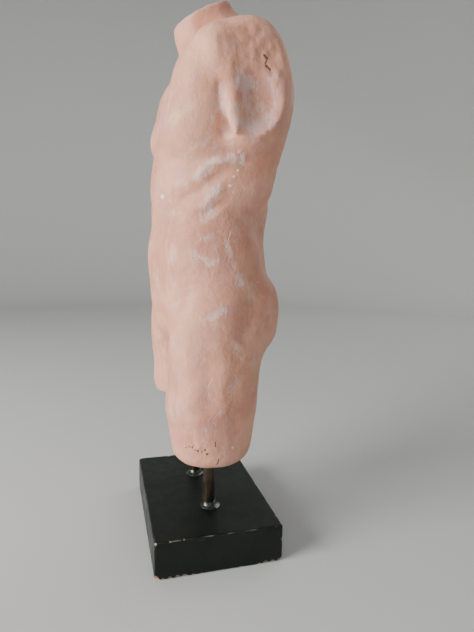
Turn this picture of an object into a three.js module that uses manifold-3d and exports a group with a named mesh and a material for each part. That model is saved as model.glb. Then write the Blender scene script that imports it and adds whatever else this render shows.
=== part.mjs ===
// Headless, armless classical torso cast on two steel rods in a painted block.
// Millimetres, +Z up, +X to the figure's left, -Y to its front; z = 0 is the underside of the block.
import * as THREE from 'three';
import { mergeVertices } from 'three/addons/utils/BufferGeometryUtils.js';
import Module from 'manifold-3d';

// ---- driving dimensions -------------------------------------------------
const BLOCK_X = 150, BLOCK_Y = 100, BLOCK_Z = 30, BLOCK_BEVEL = 0.9;
const ROD_X = 30.5;            // half spacing of the rods
const ROD_D = 10, STUD_D = 8, STUD_BORE_D = 8.6;
const ROD_TOP = 170, ROD_SHOULDER = 30.3, STUD_END = 2.4;
const CBORE_D = 25, CBORE_Z = 14;
const WASHER_D = 20, WASHER_T = 1.6, WASHER_BORE_D = 8.6;
const NUT_AF = 13, NUT_H = 6.5, NUT_BORE_D = 8.6;
const GLUE_R = 9.5, GLUE_H = 4.2;
const SLEEVE_OD = 14, SLEEVE_ID = 10.6, STOP_T = 4;
const LEG_HOLE_D = 14.6;
const LEFT_CUT_Z = 73, RIGHT_CUT_Z = 115;   // where the thighs are cut off
const GAP = 0.3;               // clearance left between pieces
const GRID = 6.5;              // cell of the torso's surface grid

// ---- torso: rounded volumes blended together ----------------------------
// E = ellipsoid [centre, radii, rotation deg], C = round cone [a, b, radius a, radius b].
// The first entries are the side (C as is, B on both sides, L left, R right) and the blend width.
const POSE = {sx: [[60, 0], [200, 0], [450, 0]], sy: [[60, 0], [450, 0]], tilt: [[60, 0], [150, 0], [200, 0.03], [260, 0], [300, 0], [390, 0], [450, 0]], twist: [[60, 0], [200, 0], [380, 0], [450, 0]]};
const PRIMS = {
  k_legs: 14, k_glutes: 9,
  base: [
    ['C', 0, ['E', [0, 5, 322], [54, 45, 66], [0, 0, 0]]],
    ['C', 14, ['E', [0, 16, 368], [65, 34, 37], [0, 0, 0]]],
    ['C', 30, ['E', [0, -2, 256], [48, 40, 54], [0, 0, 0]]],
    ['C', 24, ['E', [0, 2, 212], [56, 41, 40], [0, 0, 0]]],
  ],
  legs: [
    ['C', 0, ['C', [30, 4, 190], [31, 3, 60], 33, 29]],
    ['L', 14, ['E', [34, -9, 126], [26, 23.5, 72], [0, 0, 0]]],
    ['L', 14, ['E', [31, 14, 130], [25, 22, 66], [0, 0, 0]]],
    ['L', 16, ['E', [43, 2, 165], [19, 30, 56], [0, 0, 0]]],
    ['C', 2.5, ['C', [-30, 0, 190], [-31, 1, 90], 32.5, 28]],
    ['R', 14, ['E', [-33, -16, 172], [25, 22, 60], [0, 0, 0]]],
    ['R', 14, ['E', [-31, 10, 140], [24, 21, 62], [0, 0, 0]]],
    ['R', 8, ['E', [-33, -13.5, 134], [22, 22, 42], [0, 0, 0]]],
    ['R', 16, ['E', [-43, -1, 168], [18, 29, 54], [0, 0, 0]]],
  ],
  glutes: [
    ['L', 0, ['E', [27, 21, 190], [30, 36, 39], [0, 0, 0]]],
    ['R', 3, ['E', [-27, 19, 187], [29, 35, 38], [0, 0, 0]]],
  ],
  muscles: [
    ['B', 18, ['E', [29, -9, 352], [38, 23, 32], [14, 0, -22]]],
    ['B', 12, ['E', [28, -18, 333], [29, 19, 19], [0, 0, -24]]],
    ['B', 14, ['E', [50, 0, 374], [24, 20, 22], [0, -20, -10]]],
    ['B', 12, ['E', [42, -10, 342], [22, 26, 38], [0, 6, 0]]],
    ['C', 8, ['C', [0, 8, 380], [0, -8, 452], 23, 20]],
    ['B', 14, ['C', [8, 18, 408], [46, 17, 387], 14, 12]],
    ['B', 12, ['E', [56, 22, 368], [19, 29, 36], [0, 0, 0]]],
    ['B', 16, ['E', [44, 26, 330], [18, 27, 52], [0, 10, 0]]],
    ['B', 12, ['E', [32, 36, 358], [27, 20, 32], [0, 0, 12]]],
    ['B', 12, ['C', [12, 31, 340], [12, 30, 225], 14, 13]],
    ['B', 16, ['E', [36, -2, 242], [18, 31, 24], [0, 0, 0]]],
    ['C', 16, ['E', [0, -19, 238], [31, 24, 42], [0, 0, 0]]],
    ['B', 10, ['E', [13, -23, 288], [18, 18, 36], [0, 0, 0]]],
    ['C', 14, ['C', [0, -20, 186], [0, -22, 196], 18, 15]],
  ],
};
// arm breaks: ridges hanging from the shoulders, recesses, hollows, and the side planes (P) and leg cut (H)
const ARMS = [
  ['add', 7, ['E', [57, 21, 345], [19, 25, 33], [0, 0, 0]]],
  ['add', 7, ['E', [-57, 20, 346], [19, 24, 32], [0, 0, 0]]],
  ['sub', 1.5, ['P', [1, 0, 0], [70.5, 0, 0]]],
  ['sub', 1.5, ['P', [-1, 0, 0], [-70.5, 0, 0]]],
  ['sub', 1.3, ['E', [80.5, 21, 344], [15, 21, 29], [0, 0, 0]]],
  ['sub', 1.3, ['E', [-80.5, 20, 345], [15, 20, 28], [0, 0, 0]]],
  ['sub', 5, ['C', [71, -4, 352], [64.5, 2, 326], 4.5, 4]],
  ['sub', 5, ['C', [-71, -5, 352], [-64.5, 1, 328], 4.5, 4]],
  ['add', 4.5, ['C', [55.5, -2.5, 378], [71.2, 7, 322.5], 15.5, 1.6]],
  ['add', 4.5, ['C', [-55.5, -3.5, 377], [-71, 6, 324.5], 15.5, 1.7]],
  ['sub', 1.2, ['H', [-1, 0, 0], [-1.5, 0, 0], [0, 0, -1], [0, 0, 115]]],
];
// grooves (negative) and ridges (positive): [side, height, half width, points]
const STROKES = [
  ['L', -1.6, 3.6, [[56, -22, 206], [50, -30, 196], [42, -36, 184], [30, -38, 168], [18, -38, 158]]],
  ['C', -1.6, 4.5, [[0, -50, 374], [0, -48, 345], [0, -48, 322]]],
  ['C', -1.4, 3.4, [[0, -50, 318], [0, -48, 290], [0, -48, 250]]],
  ['B', -1, 3.2, [[5, -48, 316], [18, -46, 311], [32, -36, 309], [42, -24, 311], [49, -16, 317], [54, -8, 322]]],
  ['B', -1.1, 4, [[27, -40, 308], [28, -40, 280], [28, -38, 255], [22, -42, 228]]],
  ['B', -0.8, 3, [[2, -48, 302], [14, -46, 301], [24, -42, 304]]],
  ['B', -0.8, 3, [[2, -48, 281], [14, -46, 280], [25, -42, 282]]],
  ['B', -0.7, 3, [[2, -48, 260], [14, -46, 259], [24, -42, 260]]],
  ['B', -1.7, 4.5, [[56, 8, 216], [52, -16, 214], [42, -34, 206], [30, -42, 192], [18, -44, 180]]],
  ['C', -2.2, 4, [[0, 46, 385], [0, 44, 340], [0, 40, 290], [0, 42, 240], [0, 50, 222]]],
  ['B', -1.3, 4.5, [[10, 40, 392], [20, 52, 376], [24, 56, 352], [30, 54, 334], [44, 46, 326]]],
  ['B', -1.2, 4, [[22, 44, 318], [24, 42, 290], [20, 42, 260]]],
  ['B', -2, 3.2, [[8, 46, 160], [24, 54, 157], [40, 46, 161]]],
  ['B', 1.6, 3.2, [[6, -26, 392], [24, -22, 396], [44, -8, 402]]],
  ['B', -0.9, 4, [[8, -32, 384], [26, -30, 386], [42, -20, 386]]],
  ['L', 1.2, 3.4, [[36, -32, 287], [44, -18, 293], [50.5, -9, 302], [54, -2, 305], [57, 7, 307], [58, 15, 308]]],
  ['L', -1.1, 3.2, [[38, -28, 279], [46, -16, 285], [51, -6, 293], [55, 6, 299]]],
  ['L', 1, 3.4, [[40, -26, 267], [47, -13, 273], [49, -7, 280], [51, -1, 287]]],
  ['L', -0.8, 3.2, [[44, -16, 265], [49, -7, 271], [52, 3, 278]]],
  ['L', 0.6, 3.4, [[44, -16, 258], [50, -6, 266], [51, 2, 273]]],
  ['L', -1.7, 9, [[58, 30, 206], [61, 25, 194], [63.5, 20, 182], [65, 15, 172]]],
  ['R', -1.5, 9, [[-58, 30, 206], [-61, 25, 194], [-63.5, 20, 182]]],
  ['L', -0.9, 6, [[66, -9, 162], [65, -10, 142], [64, -6, 121]]],
  ['L', 0.8, 6, [[65, 2, 165], [66, 3, 145], [65, 4, 125]]],
  ['L', -0.8, 5, [[62, 12, 118], [60, 16, 100]]],
  ['R', 1.2, 3.6, [[-34, -34, 293], [-44, -22, 300], [-52, -2, 309], [-54, 12, 311]]],
  ['R', -1.1, 3.2, [[-36, -32, 286], [-46, -18, 293], [-52, 2, 303]]],
  ['R', 1, 3.6, [[-36, -30, 277], [-45, -16, 285], [-50, 2, 294]]],
];
const CUTS = [[[0, 0, -1], [0, 0, 73], 1.2], [[0, -0.52, 0.854], [0, -27, 409], 1.2]];
const FIT = {front: [[75, 1.15], [85, 0.33], [95, -0.29], [105, -0.93], [115, -2.11], [125, -2.24], [135, -0.68], [145, 0.07], [155, -0.56], [165, -0.96], [175, -0.87], [185, -1.11], [195, -1.47], [205, -0.92], [215, 0.37], [225, 1.08], [235, 1.03], [245, 1.26], [255, 1.93], [265, 2.15], [275, 1.75], [285, 1.2], [295, 0.69], [305, 0.32], [315, 0.39], [325, 0.68], [335, 1.24], [345, 2.61], [355, 3.73], [365, 3.47], [375, 2.13], [385, -0.23], [395, -2.76], [405, -3.86], [415, -3.45], [425, -2.48], [435, -1.67], [445, -1.22]], back: [[75, -2.53], [85, -1.39], [95, -0.82], [105, -0.51], [115, -0.05], [125, -0.1], [135, -0.6], [145, -0.41], [155, 0.71], [165, 1.4], [175, 1.01], [185, 0.35], [195, 0.23], [205, 1.19], [215, 3.11], [225, 4.56], [235, 4.09], [245, 3.08], [255, 3.01], [265, 3.97], [275, 4.82], [285, 3.66], [295, 0.85], [305, -0.93], [315, -0.52], [325, 0.94], [335, 1.93], [345, 1.88], [355, 1.06], [365, 0.08], [375, -0.58], [385, -0.74], [395, -0.13], [405, 1.41], [415, 2.95], [425, 3.42], [435, 2.7], [445, 2.07]]};
// -------------------------------------------------------------------------
const wasm = await Module(); wasm.setup();

const smin = (a, b, k) => { if (k <= 0) return Math.min(a, b); const h = Math.min(1, Math.max(0, 0.5 + 0.5 * (b - a) / k)); return b * (1 - h) + a * h - k * h * (1 - h); };
const smax = (a, b, k) => -smin(-a, -b, k);
const rad = Math.PI / 180;
function rot(r) {
  const [cx, sx, cy, sy, cz, sz] = [Math.cos(r[0] * rad), Math.sin(r[0] * rad), Math.cos(r[1] * rad), Math.sin(r[1] * rad), Math.cos(r[2] * rad), Math.sin(r[2] * rad)];
  return [cz * cy, cz * sy * sx - sz * cx, cz * sy * cx + sz * sx, sz * cy, sz * sy * sx + cz * cx, sz * sy * cx - cz * sx, -sy, cy * sx, cy * cx];
}
function prim(x, y, z, p) {
  if (p[0] === 'E') {
    const c = p[1], r = p[2]; let a = x - c[0], b = y - c[1], d = z - c[2];
    if (p[3][0] || p[3][1] || p[3][2]) {
      const m = p.m || (p.m = rot(p[3]));
      const A = a * m[0] + b * m[3] + d * m[6], B = a * m[1] + b * m[4] + d * m[7], D = a * m[2] + b * m[5] + d * m[8];
      a = A; b = B; d = D;
    }
    const k0 = Math.hypot(a / r[0], b / r[1], d / r[2]), k1 = Math.hypot(a / (r[0] * r[0]), b / (r[1] * r[1]), d / (r[2] * r[2])) + 1e-9;
    return k0 * (k0 - 1) / k1;
  }
  if (p[0] === 'C') {
    const a = p[1], b = p[2], bx = b[0] - a[0], by = b[1] - a[1], bz = b[2] - a[2], px = x - a[0], py = y - a[1], pz = z - a[2];
    const t = Math.min(1, Math.max(0, (px * bx + py * by + pz * bz) / (bx * bx + by * by + bz * bz)));
    return Math.hypot(px - t * bx, py - t * by, pz - t * bz) - (p[3] + t * (p[4] - p[3]));
  }
  if (p[0] === 'P') {
    const n = p[1], l = Math.hypot(...n), o = p[2];
    return -((x - o[0]) * n[0] + (y - o[1]) * n[1] + (z - o[2]) * n[2]) / l;
  }
  const pl = (n, o) => -((x - o[0]) * n[0] + (y - o[1]) * n[1] + (z - o[2]) * n[2]);
  return Math.max(pl(p[1], p[2]), pl(p[3], p[4]));
}
function lerp(z, t) {
  if (z <= t[0][0]) return t[0][1];
  for (let i = 1; i < t.length; i++) if (z <= t[i][0]) { const u = (z - t[i - 1][0]) / (t[i][0] - t[i - 1][0]); return t[i - 1][1] * (1 - u) + t[i][1] * u; }
  return t[t.length - 1][1];
}
function unpose(p) {
  const z = p[2], x0 = p[0] - lerp(z, POSE.sx), y0 = p[1] - lerp(z, POSE.sy), a = lerp(z, POSE.twist) * rad;
  const c = Math.cos(a), s = Math.sin(a);
  return [x0 * c + y0 * s, -x0 * s + y0 * c, z - lerp(z, POSE.tilt) * p[0]];
}
function group(q, G, d0) {
  let d = d0;
  for (const [side, k, p] of G) {
    const e = prim(side === 'B' ? Math.abs(q[0]) : q[0], q[1], q[2], p);
    d = d === null ? e : k < 0 ? smax(d, -e, -k) : smin(d, e, k);
  }
  return d;
}
function body(p, cuts) {
  const q = unpose(p);
  let d = group(q, PRIMS.base, null);
  d = smin(d, group(q, PRIMS.legs, null), PRIMS.k_legs);
  d = smin(d, group(q, PRIMS.glutes, null), PRIMS.k_glutes);
  d = group(q, PRIMS.muscles, d);
  for (const [op, k, e] of ARMS) {
    if (op === 'sub' && e[0] === 'H') { if (cuts) d = smax(d, -prim(p[0], p[1], p[2], ['H', e[1], e[2], e[3], [e[4][0], e[4][1], e[4][2] - 7]]), k); continue; }
    const v = prim(p[0], p[1], p[2], e);
    d = op === 'add' ? smin(d, v, k) : smax(d, -v, k);
  }
  return d;
}
const LOW_Z = LEFT_CUT_Z - 7;
function sdf(p) {
  let d = body(p, true);
  d = smax(d, LOW_Z - p[2], 1);                     // legs run on below the cut, trimmed flat afterwards
  for (const [n, o, k] of CUTS) if (n[2] > 0) {
    const l = Math.hypot(...n), e = ((p[0] - o[0]) * n[0] + (p[1] - o[1]) * n[1] + (p[2] - o[2]) * n[2]) / l;
    d = smax(d, e - 7, k);
  }
  return d;
}
const grad = (f, p) => { const e = 0.4, g = [0, 0, 0]; for (let i = 0; i < 3; i++) { const a = p.slice(), b = p.slice(); a[i] += e; b[i] -= e; g[i] = (f(a) - f(b)) / (2 * e); } return g; };
function spline(P, n) {
  if (P.length < 3) return P;
  const v = (a, b, f) => a.map((t, i) => f(t, b[i]));
  const Q = [v(P[0], P[1], (s, t) => 2 * s - t), ...P, v(P[P.length - 1], P[P.length - 2], (s, t) => 2 * s - t)], out = [];
  for (let i = 1; i < Q.length - 2; i++) for (let j = 0; j < n; j++) {
    const t = j / n;
    out.push([0, 1, 2].map((c) => 0.5 * (2 * Q[i][c] + (Q[i + 1][c] - Q[i - 1][c]) * t + (2 * Q[i - 1][c] - 5 * Q[i][c] + 4 * Q[i + 1][c] - Q[i + 2][c]) * t * t + (-Q[i - 1][c] + 3 * Q[i][c] - 3 * Q[i + 1][c] + Q[i + 2][c]) * t * t * t)));
  }
  out.push(P[P.length - 1]);
  return out;
}
function segDist(q, S) {
  let best = 1e9;
  for (let i = 1; i < S.length; i++) {
    const a = S[i - 1], b = S[i], bx = b[0] - a[0], by = b[1] - a[1], bz = b[2] - a[2], px = q[0] - a[0], py = q[1] - a[1], pz = q[2] - a[2];
    const t = Math.min(1, Math.max(0, (px * bx + py * by + pz * bz) / (bx * bx + by * by + bz * bz + 1e-9)));
    best = Math.min(best, (px - t * bx) ** 2 + (py - t * by) ** 2 + (pz - t * bz) ** 2);
  }
  return Math.sqrt(best);
}
const LINES = STROKES.map(([side, amp, w, pts]) => [side, amp, w, spline(pts, 4)]);
function relief(p) {
  const q = unpose(p); let d = 0;
  for (const [side, amp, w, S] of LINES) {
    const r = segDist(side === 'B' ? [Math.abs(q[0]), q[1], q[2]] : q, S);
    if (r < 3 * w) d += amp * Math.exp(-((r / w) ** 2));
  }
  return d;
}
function torsoMesh(h, shift) {
  const lo = [-96 - shift, -66 - 0.7 * shift, LOW_Z - 6], hi = [96, 82, 462], n = lo.map((v, i) => Math.ceil((hi[i] - v) / h) + 1);
  const F = new Float64Array(n[0] * n[1] * n[2]), id = (i, j, k) => (i * n[1] + j) * n[2] + k;
  for (let i = 0; i < n[0]; i++) for (let j = 0; j < n[1]; j++) for (let k = 0; k < n[2]; k++) F[id(i, j, k)] = sdf([lo[0] + h * i, lo[1] + h * j, lo[2] + h * k]);
  const V = [], cell = new Map(), edges = [];
  for (let a = 0; a < 3; a++) for (const u of [0, 1]) for (const v of [0, 1]) { const p = [0, 0, 0]; p[(a + 1) % 3] = u; p[(a + 2) % 3] = v; const q = p.slice(); q[a] = 1; edges.push([p, q]); }
  for (let i = 0; i < n[0] - 1; i++) for (let j = 0; j < n[1] - 1; j++) for (let k = 0; k < n[2] - 1; k++) {
    let acc = [0, 0, 0], c = 0;
    for (const [p, q] of edges) {
      const fa = F[id(i + p[0], j + p[1], k + p[2])], fb = F[id(i + q[0], j + q[1], k + q[2])];
      if ((fa < 0) !== (fb < 0)) { const t = fa / (fa - fb); for (let s = 0; s < 3; s++) acc[s] += p[s] + t * (q[s] - p[s]); c++; }
    }
    if (c) { cell.set(id(i, j, k), V.length); V.push([lo[0] + h * (i + acc[0] / c), lo[1] + h * (j + acc[1] / c), lo[2] + h * (k + acc[2] / c)]); }
  }
  const T = [];
  for (let a = 0; a < 3; a++) {
    const b = (a + 1) % 3, c = (a + 2) % 3;
    for (let i = 0; i < n[0]; i++) for (let j = 0; j < n[1]; j++) for (let k = 0; k < n[2]; k++) {
      const p = [i, j, k], q = [i, j, k]; q[a]++;
      if (q[a] >= n[a] || p[b] < 1 || p[c] < 1) continue;
      const s0 = F[id(...p)] < 0, s1 = F[id(...q)] < 0;
      if (s0 === s1) continue;
      const g = (db, dc) => { const r = p.slice(); r[b] += db; r[c] += dc; return cell.get(id(...r)); };
      let Q = [g(-1, -1), g(0, -1), g(0, 0), g(-1, 0)];
      if (!s0) Q.reverse();
      const dd = (m, o) => (V[m][0] - V[o][0]) ** 2 + (V[m][1] - V[o][1]) ** 2 + (V[m][2] - V[o][2]) ** 2;
      if (dd(Q[0], Q[2]) < dd(Q[1], Q[3])) T.push([Q[0], Q[1], Q[2]], [Q[0], Q[2], Q[3]]);
      else T.push([Q[1], Q[2], Q[3]], [Q[1], Q[3], Q[0]]);
    }
  }
  const uses = new Map();
  for (const t of T) for (let i = 0; i < 3; i++) { const a = t[i], b = t[(i + 1) % 3], key = Math.min(a, b) * 1e6 + Math.max(a, b); uses.set(key, (uses.get(key) || 0) + 1); }
  for (const n2 of uses.values()) if (n2 !== 2) return null;      // an edge shared by four triangles: try another grid origin
  const snap = () => { for (const p of V) { const d = Math.max(-h, Math.min(h, sdf(p))), g = grad(sdf, p), m = Math.max(0.2, g[0] ** 2 + g[1] ** 2 + g[2] ** 2); for (let s = 0; s < 3; s++) p[s] -= d / m * g[s]; } };
  snap(); snap();
  const nb = V.map(() => new Set());
  for (const [x, y, z] of T) { nb[x].add(y).add(z); nb[y].add(x).add(z); nb[z].add(x).add(y); }
  for (let it = 0; it < 2; it++) {
    const W = V.map((p, i) => { const s = [0, 0, 0]; for (const o of nb[i]) for (let c = 0; c < 3; c++) s[c] += V[o][c]; return p.map((v, c) => v + 0.5 * (s[c] / nb[i].size - v)); });
    W.forEach((p, i) => { V[i] = p; });
  }
  snap();
  for (const p of V) {
    const g = grad((q) => body(q, false), p), m = Math.hypot(...g) + 1e-9, r = relief(p);
    for (let s = 0; s < 3; s++) p[s] += r * g[s] / m;
    const t = Math.min(1, Math.max(0, (p[1] + 22) / 50)), w = t * t * (3 - 2 * t);
    p[1] += lerp(p[2], FIT.front) * (1 - w) + lerp(p[2], FIT.back) * w;
  }
  return new wasm.Manifold(new wasm.Mesh({ numProp: 3, vertProperties: Float32Array.from(V.flat()), triVerts: Uint32Array.from(T.flat()) }));
}

// ---- helpers -------------------------------------------------------------
function solid(geo) {
  let g = geo.index ? geo.clone() : geo.clone();
  g.deleteAttribute('normal'); g.deleteAttribute('uv');
  g = mergeVertices(g, 1e-4);
  return new wasm.Manifold(new wasm.Mesh({ numProp: 3, vertProperties: Float32Array.from(g.attributes.position.array), triVerts: Uint32Array.from(g.index.array) }));
}
function toGeo(man) {
  const m = man.getMesh(), g = new THREE.BufferGeometry(), np = m.numProp, nv = m.vertProperties.length / np, pos = new Float32Array(nv * 3);
  for (let i = 0; i < nv; i++) for (let c = 0; c < 3; c++) pos[i * 3 + c] = m.vertProperties[i * np + c];
  g.setAttribute('position', new THREE.BufferAttribute(pos, 3)); g.setIndex(new THREE.BufferAttribute(Uint32Array.from(m.triVerts), 1));
  g.computeVertexNormals();
  return g;
}
// turned body about Z; profile of [r, z] points, closed on itself or starting and ending on the axis
function turned(profile, x, seg = 40) {
  const g = new THREE.LatheGeometry(profile.map(([r, z]) => new THREE.Vector2(r, z)), seg);
  g.rotateX(Math.PI / 2); g.translate(x, 0, 0);
  return fixOut(g);
}
function fixOut(g) {
  let q = g.clone(); q.deleteAttribute('normal'); q.deleteAttribute('uv'); q = mergeVertices(q, 1e-4);
  const a = q.attributes.position.array, ix = Array.from(q.index.array), tri = [];
  let vol = 0;
  for (let i = 0; i < ix.length; i += 3) {
    const [i0, i1, i2] = [ix[i], ix[i + 1], ix[i + 2]];
    if (i0 === i1 || i1 === i2 || i0 === i2) continue;
    const A = new THREE.Vector3(a[3 * i0], a[3 * i0 + 1], a[3 * i0 + 2]), B = new THREE.Vector3(a[3 * i1], a[3 * i1 + 1], a[3 * i1 + 2]), C = new THREE.Vector3(a[3 * i2], a[3 * i2 + 1], a[3 * i2 + 2]);
    vol += A.dot(B.cross(C)); tri.push(i0, i1, i2);
  }
  if (vol < 0) for (let i = 0; i < tri.length; i += 3) [tri[i + 1], tri[i + 2]] = [tri[i + 2], tri[i + 1]];
  q.setIndex(tri); q.computeVertexNormals();
  return q;
}
const cyl = (r, z0, z1, x, seg = 40) => turned([[0, z0], [r, z0], [r, z1], [0, z1]], x, seg);
const ring = (r0, r1, z0, z1, x, seg = 40) => turned([[r0, z0], [r1, z0], [r1, z1], [r0, z1], [r0, z0]], x, seg);
const mat = (hex, rough, metal) => new THREE.MeshStandardMaterial({ color: hex, roughness: rough, metalness: metal });
const root = new THREE.Group(); root.name = 'torso_on_stand';
function put(name, geo, m) { geo.computeVertexNormals(); const o = new THREE.Mesh(geo, m); o.name = name; root.add(o); }

// ---- painted block with two counterbored rod holes ------------------------
{
  const b = BLOCK_BEVEL, hx = BLOCK_X / 2 - b, hy = BLOCK_Y / 2 - b, s = new THREE.Shape();
  s.moveTo(-hx, -hy); s.lineTo(hx, -hy); s.lineTo(hx, hy); s.lineTo(-hx, hy); s.closePath();
  const g = new THREE.ExtrudeGeometry(s, { depth: BLOCK_Z - 2 * b, bevelEnabled: true, bevelThickness: b, bevelSize: b, bevelSegments: 1, steps: 1 });
  g.translate(0, 0, b);
  let m = solid(g);
  for (const x of [-ROD_X, ROD_X]) m = m.subtract(solid(cyl(STUD_BORE_D / 2, -5, BLOCK_Z + 5, x))).subtract(solid(cyl(CBORE_D / 2, -5, CBORE_Z, x, 48)));
  put('base_block', toGeo(m), mat(0x15181a, 0.45, 0));
}
// ---- rods, washers, nuts and glue -----------------------------------------
const sides = [['left', ROD_X, LEFT_CUT_Z], ['right', -ROD_X, RIGHT_CUT_Z]];
for (const [side, x, cutZ] of sides) {
  const R = ROD_D / 2, S = STUD_D / 2, c = 0.7;
  put(`rod_${side}`, turned([[0, STUD_END], [S - c, STUD_END], [S, STUD_END + c], [S, ROD_SHOULDER], [R, ROD_SHOULDER], [R, ROD_TOP - 1], [R - 1, ROD_TOP], [0, ROD_TOP]], x, 40), mat(0x3b322c, 0.38, 1));
  const wz = CBORE_Z - GAP;
  put(`washer_${side}`, ring(WASHER_BORE_D / 2, WASHER_D / 2, wz - WASHER_T, wz, x), mat(0x8f9194, 0.4, 1));
  const nz = wz - WASHER_T - GAP;
  const hex = new THREE.Shape(); const ac = NUT_AF / 2 / Math.cos(Math.PI / 6);
  for (let i = 0; i < 6; i++) { const a = i * Math.PI / 3 + (side === 'left' ? 0.35 : 0.9); if (i) hex.lineTo(ac * Math.cos(a), ac * Math.sin(a)); else hex.moveTo(ac * Math.cos(a), ac * Math.sin(a)); }
  hex.closePath();
  const hg = new THREE.ExtrudeGeometry(hex, { depth: NUT_H, bevelEnabled: false }); hg.translate(x, 0, nz - NUT_H);
  const cone = turned([[0, nz - NUT_H - 1], [NUT_AF / 2 - 1.2, nz - NUT_H - 1], [NUT_AF / 2 + 1.9, nz - NUT_H + 2], [NUT_AF / 2 + 1.9, nz + 1], [0, nz + 1]], x, 48);
  put(`nut_${side}`, toGeo(solid(hg).intersect(solid(cone)).subtract(solid(cyl(NUT_BORE_D / 2, nz - NUT_H - 3, nz + 3, x)))), mat(0x9a9c9e, 0.38, 1));
  const gz = BLOCK_Z + GAP, gi = R + GAP;
  put(`glue_${side}`, turned([[gi, gz], [GLUE_R, gz], [GLUE_R - 0.5, gz + 0.6], [GLUE_R - 2.1, gz + 1.3], [gi + 1.0, gz + 2.8], [gi + 0.3, gz + GLUE_H], [gi, gz + GLUE_H], [gi, gz]], x, 40), mat(0x23262a, 0.25, 0));
  put(`sleeve_${side}`, ring(SLEEVE_ID / 2, SLEEVE_OD / 2, cutZ + 0.4, ROD_TOP, x), mat(0x77746f, 0.45, 1));
  put(`rod_stop_${side}`, cyl(SLEEVE_OD / 2, ROD_TOP + GAP, ROD_TOP + GAP + STOP_T, x), mat(0x6f6c68, 0.5, 1));
}
// ---- torso -----------------------------------------------------------------
{
  let m = null;
  for (let shift = 0; !m && shift < GRID; shift += 0.6) m = torsoMesh(GRID, shift);
  const box = (x0, x1, y0, y1, z0, z1) => { const g = new THREE.BoxGeometry(x1 - x0, y1 - y0, z1 - z0); g.translate((x0 + x1) / 2, (y0 + y1) / 2, (z0 + z1) / 2); return solid(g); };
  m = m.subtract(box(-200, 200, -200, 200, -50, LEFT_CUT_Z));
  m = m.subtract(box(-200, -1.5, -200, 200, -50, RIGHT_CUT_Z));
  for (const [n, o] of CUTS) if (n[2] > 0) {       // slanted neck
    const g = new THREE.BoxGeometry(300, 300, 100); g.translate(0, 0, 50);
    g.applyQuaternion(new THREE.Quaternion().setFromUnitVectors(new THREE.Vector3(0, 0, 1), new THREE.Vector3(...n).normalize()));
    g.translate(...o);
    m = m.subtract(solid(g));
  }
  for (const [, x, cutZ] of sides) m = m.subtract(solid(cyl(LEG_HOLE_D / 2, cutZ - 20, ROD_TOP + GAP + STOP_T + GAP, x)));
  m = m.simplify(0.05);
  const parts = m.decompose().sort((a, b) => b.volume() - a.volume());
  put('torso_cast', toGeo(parts[0]), mat(0xcfa394, 0.62, 0));
}
export default root;
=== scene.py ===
import bpy
import bmesh
import math
import numpy as np
from mathutils import Matrix, Vector


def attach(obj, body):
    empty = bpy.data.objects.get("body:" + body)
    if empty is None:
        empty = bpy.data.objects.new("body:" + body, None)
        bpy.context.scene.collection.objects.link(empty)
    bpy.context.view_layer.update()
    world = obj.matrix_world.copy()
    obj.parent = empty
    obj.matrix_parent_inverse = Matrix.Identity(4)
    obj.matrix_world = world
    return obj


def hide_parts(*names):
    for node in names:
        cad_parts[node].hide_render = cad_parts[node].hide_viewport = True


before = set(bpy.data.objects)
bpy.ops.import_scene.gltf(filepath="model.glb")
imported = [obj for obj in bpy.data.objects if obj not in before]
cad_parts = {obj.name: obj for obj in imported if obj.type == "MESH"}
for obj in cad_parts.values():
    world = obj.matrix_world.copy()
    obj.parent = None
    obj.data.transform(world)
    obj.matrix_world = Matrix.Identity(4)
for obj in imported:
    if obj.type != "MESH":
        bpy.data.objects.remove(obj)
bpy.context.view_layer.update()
RNG = np.random.default_rng(20)
f32 = np.float32

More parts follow.
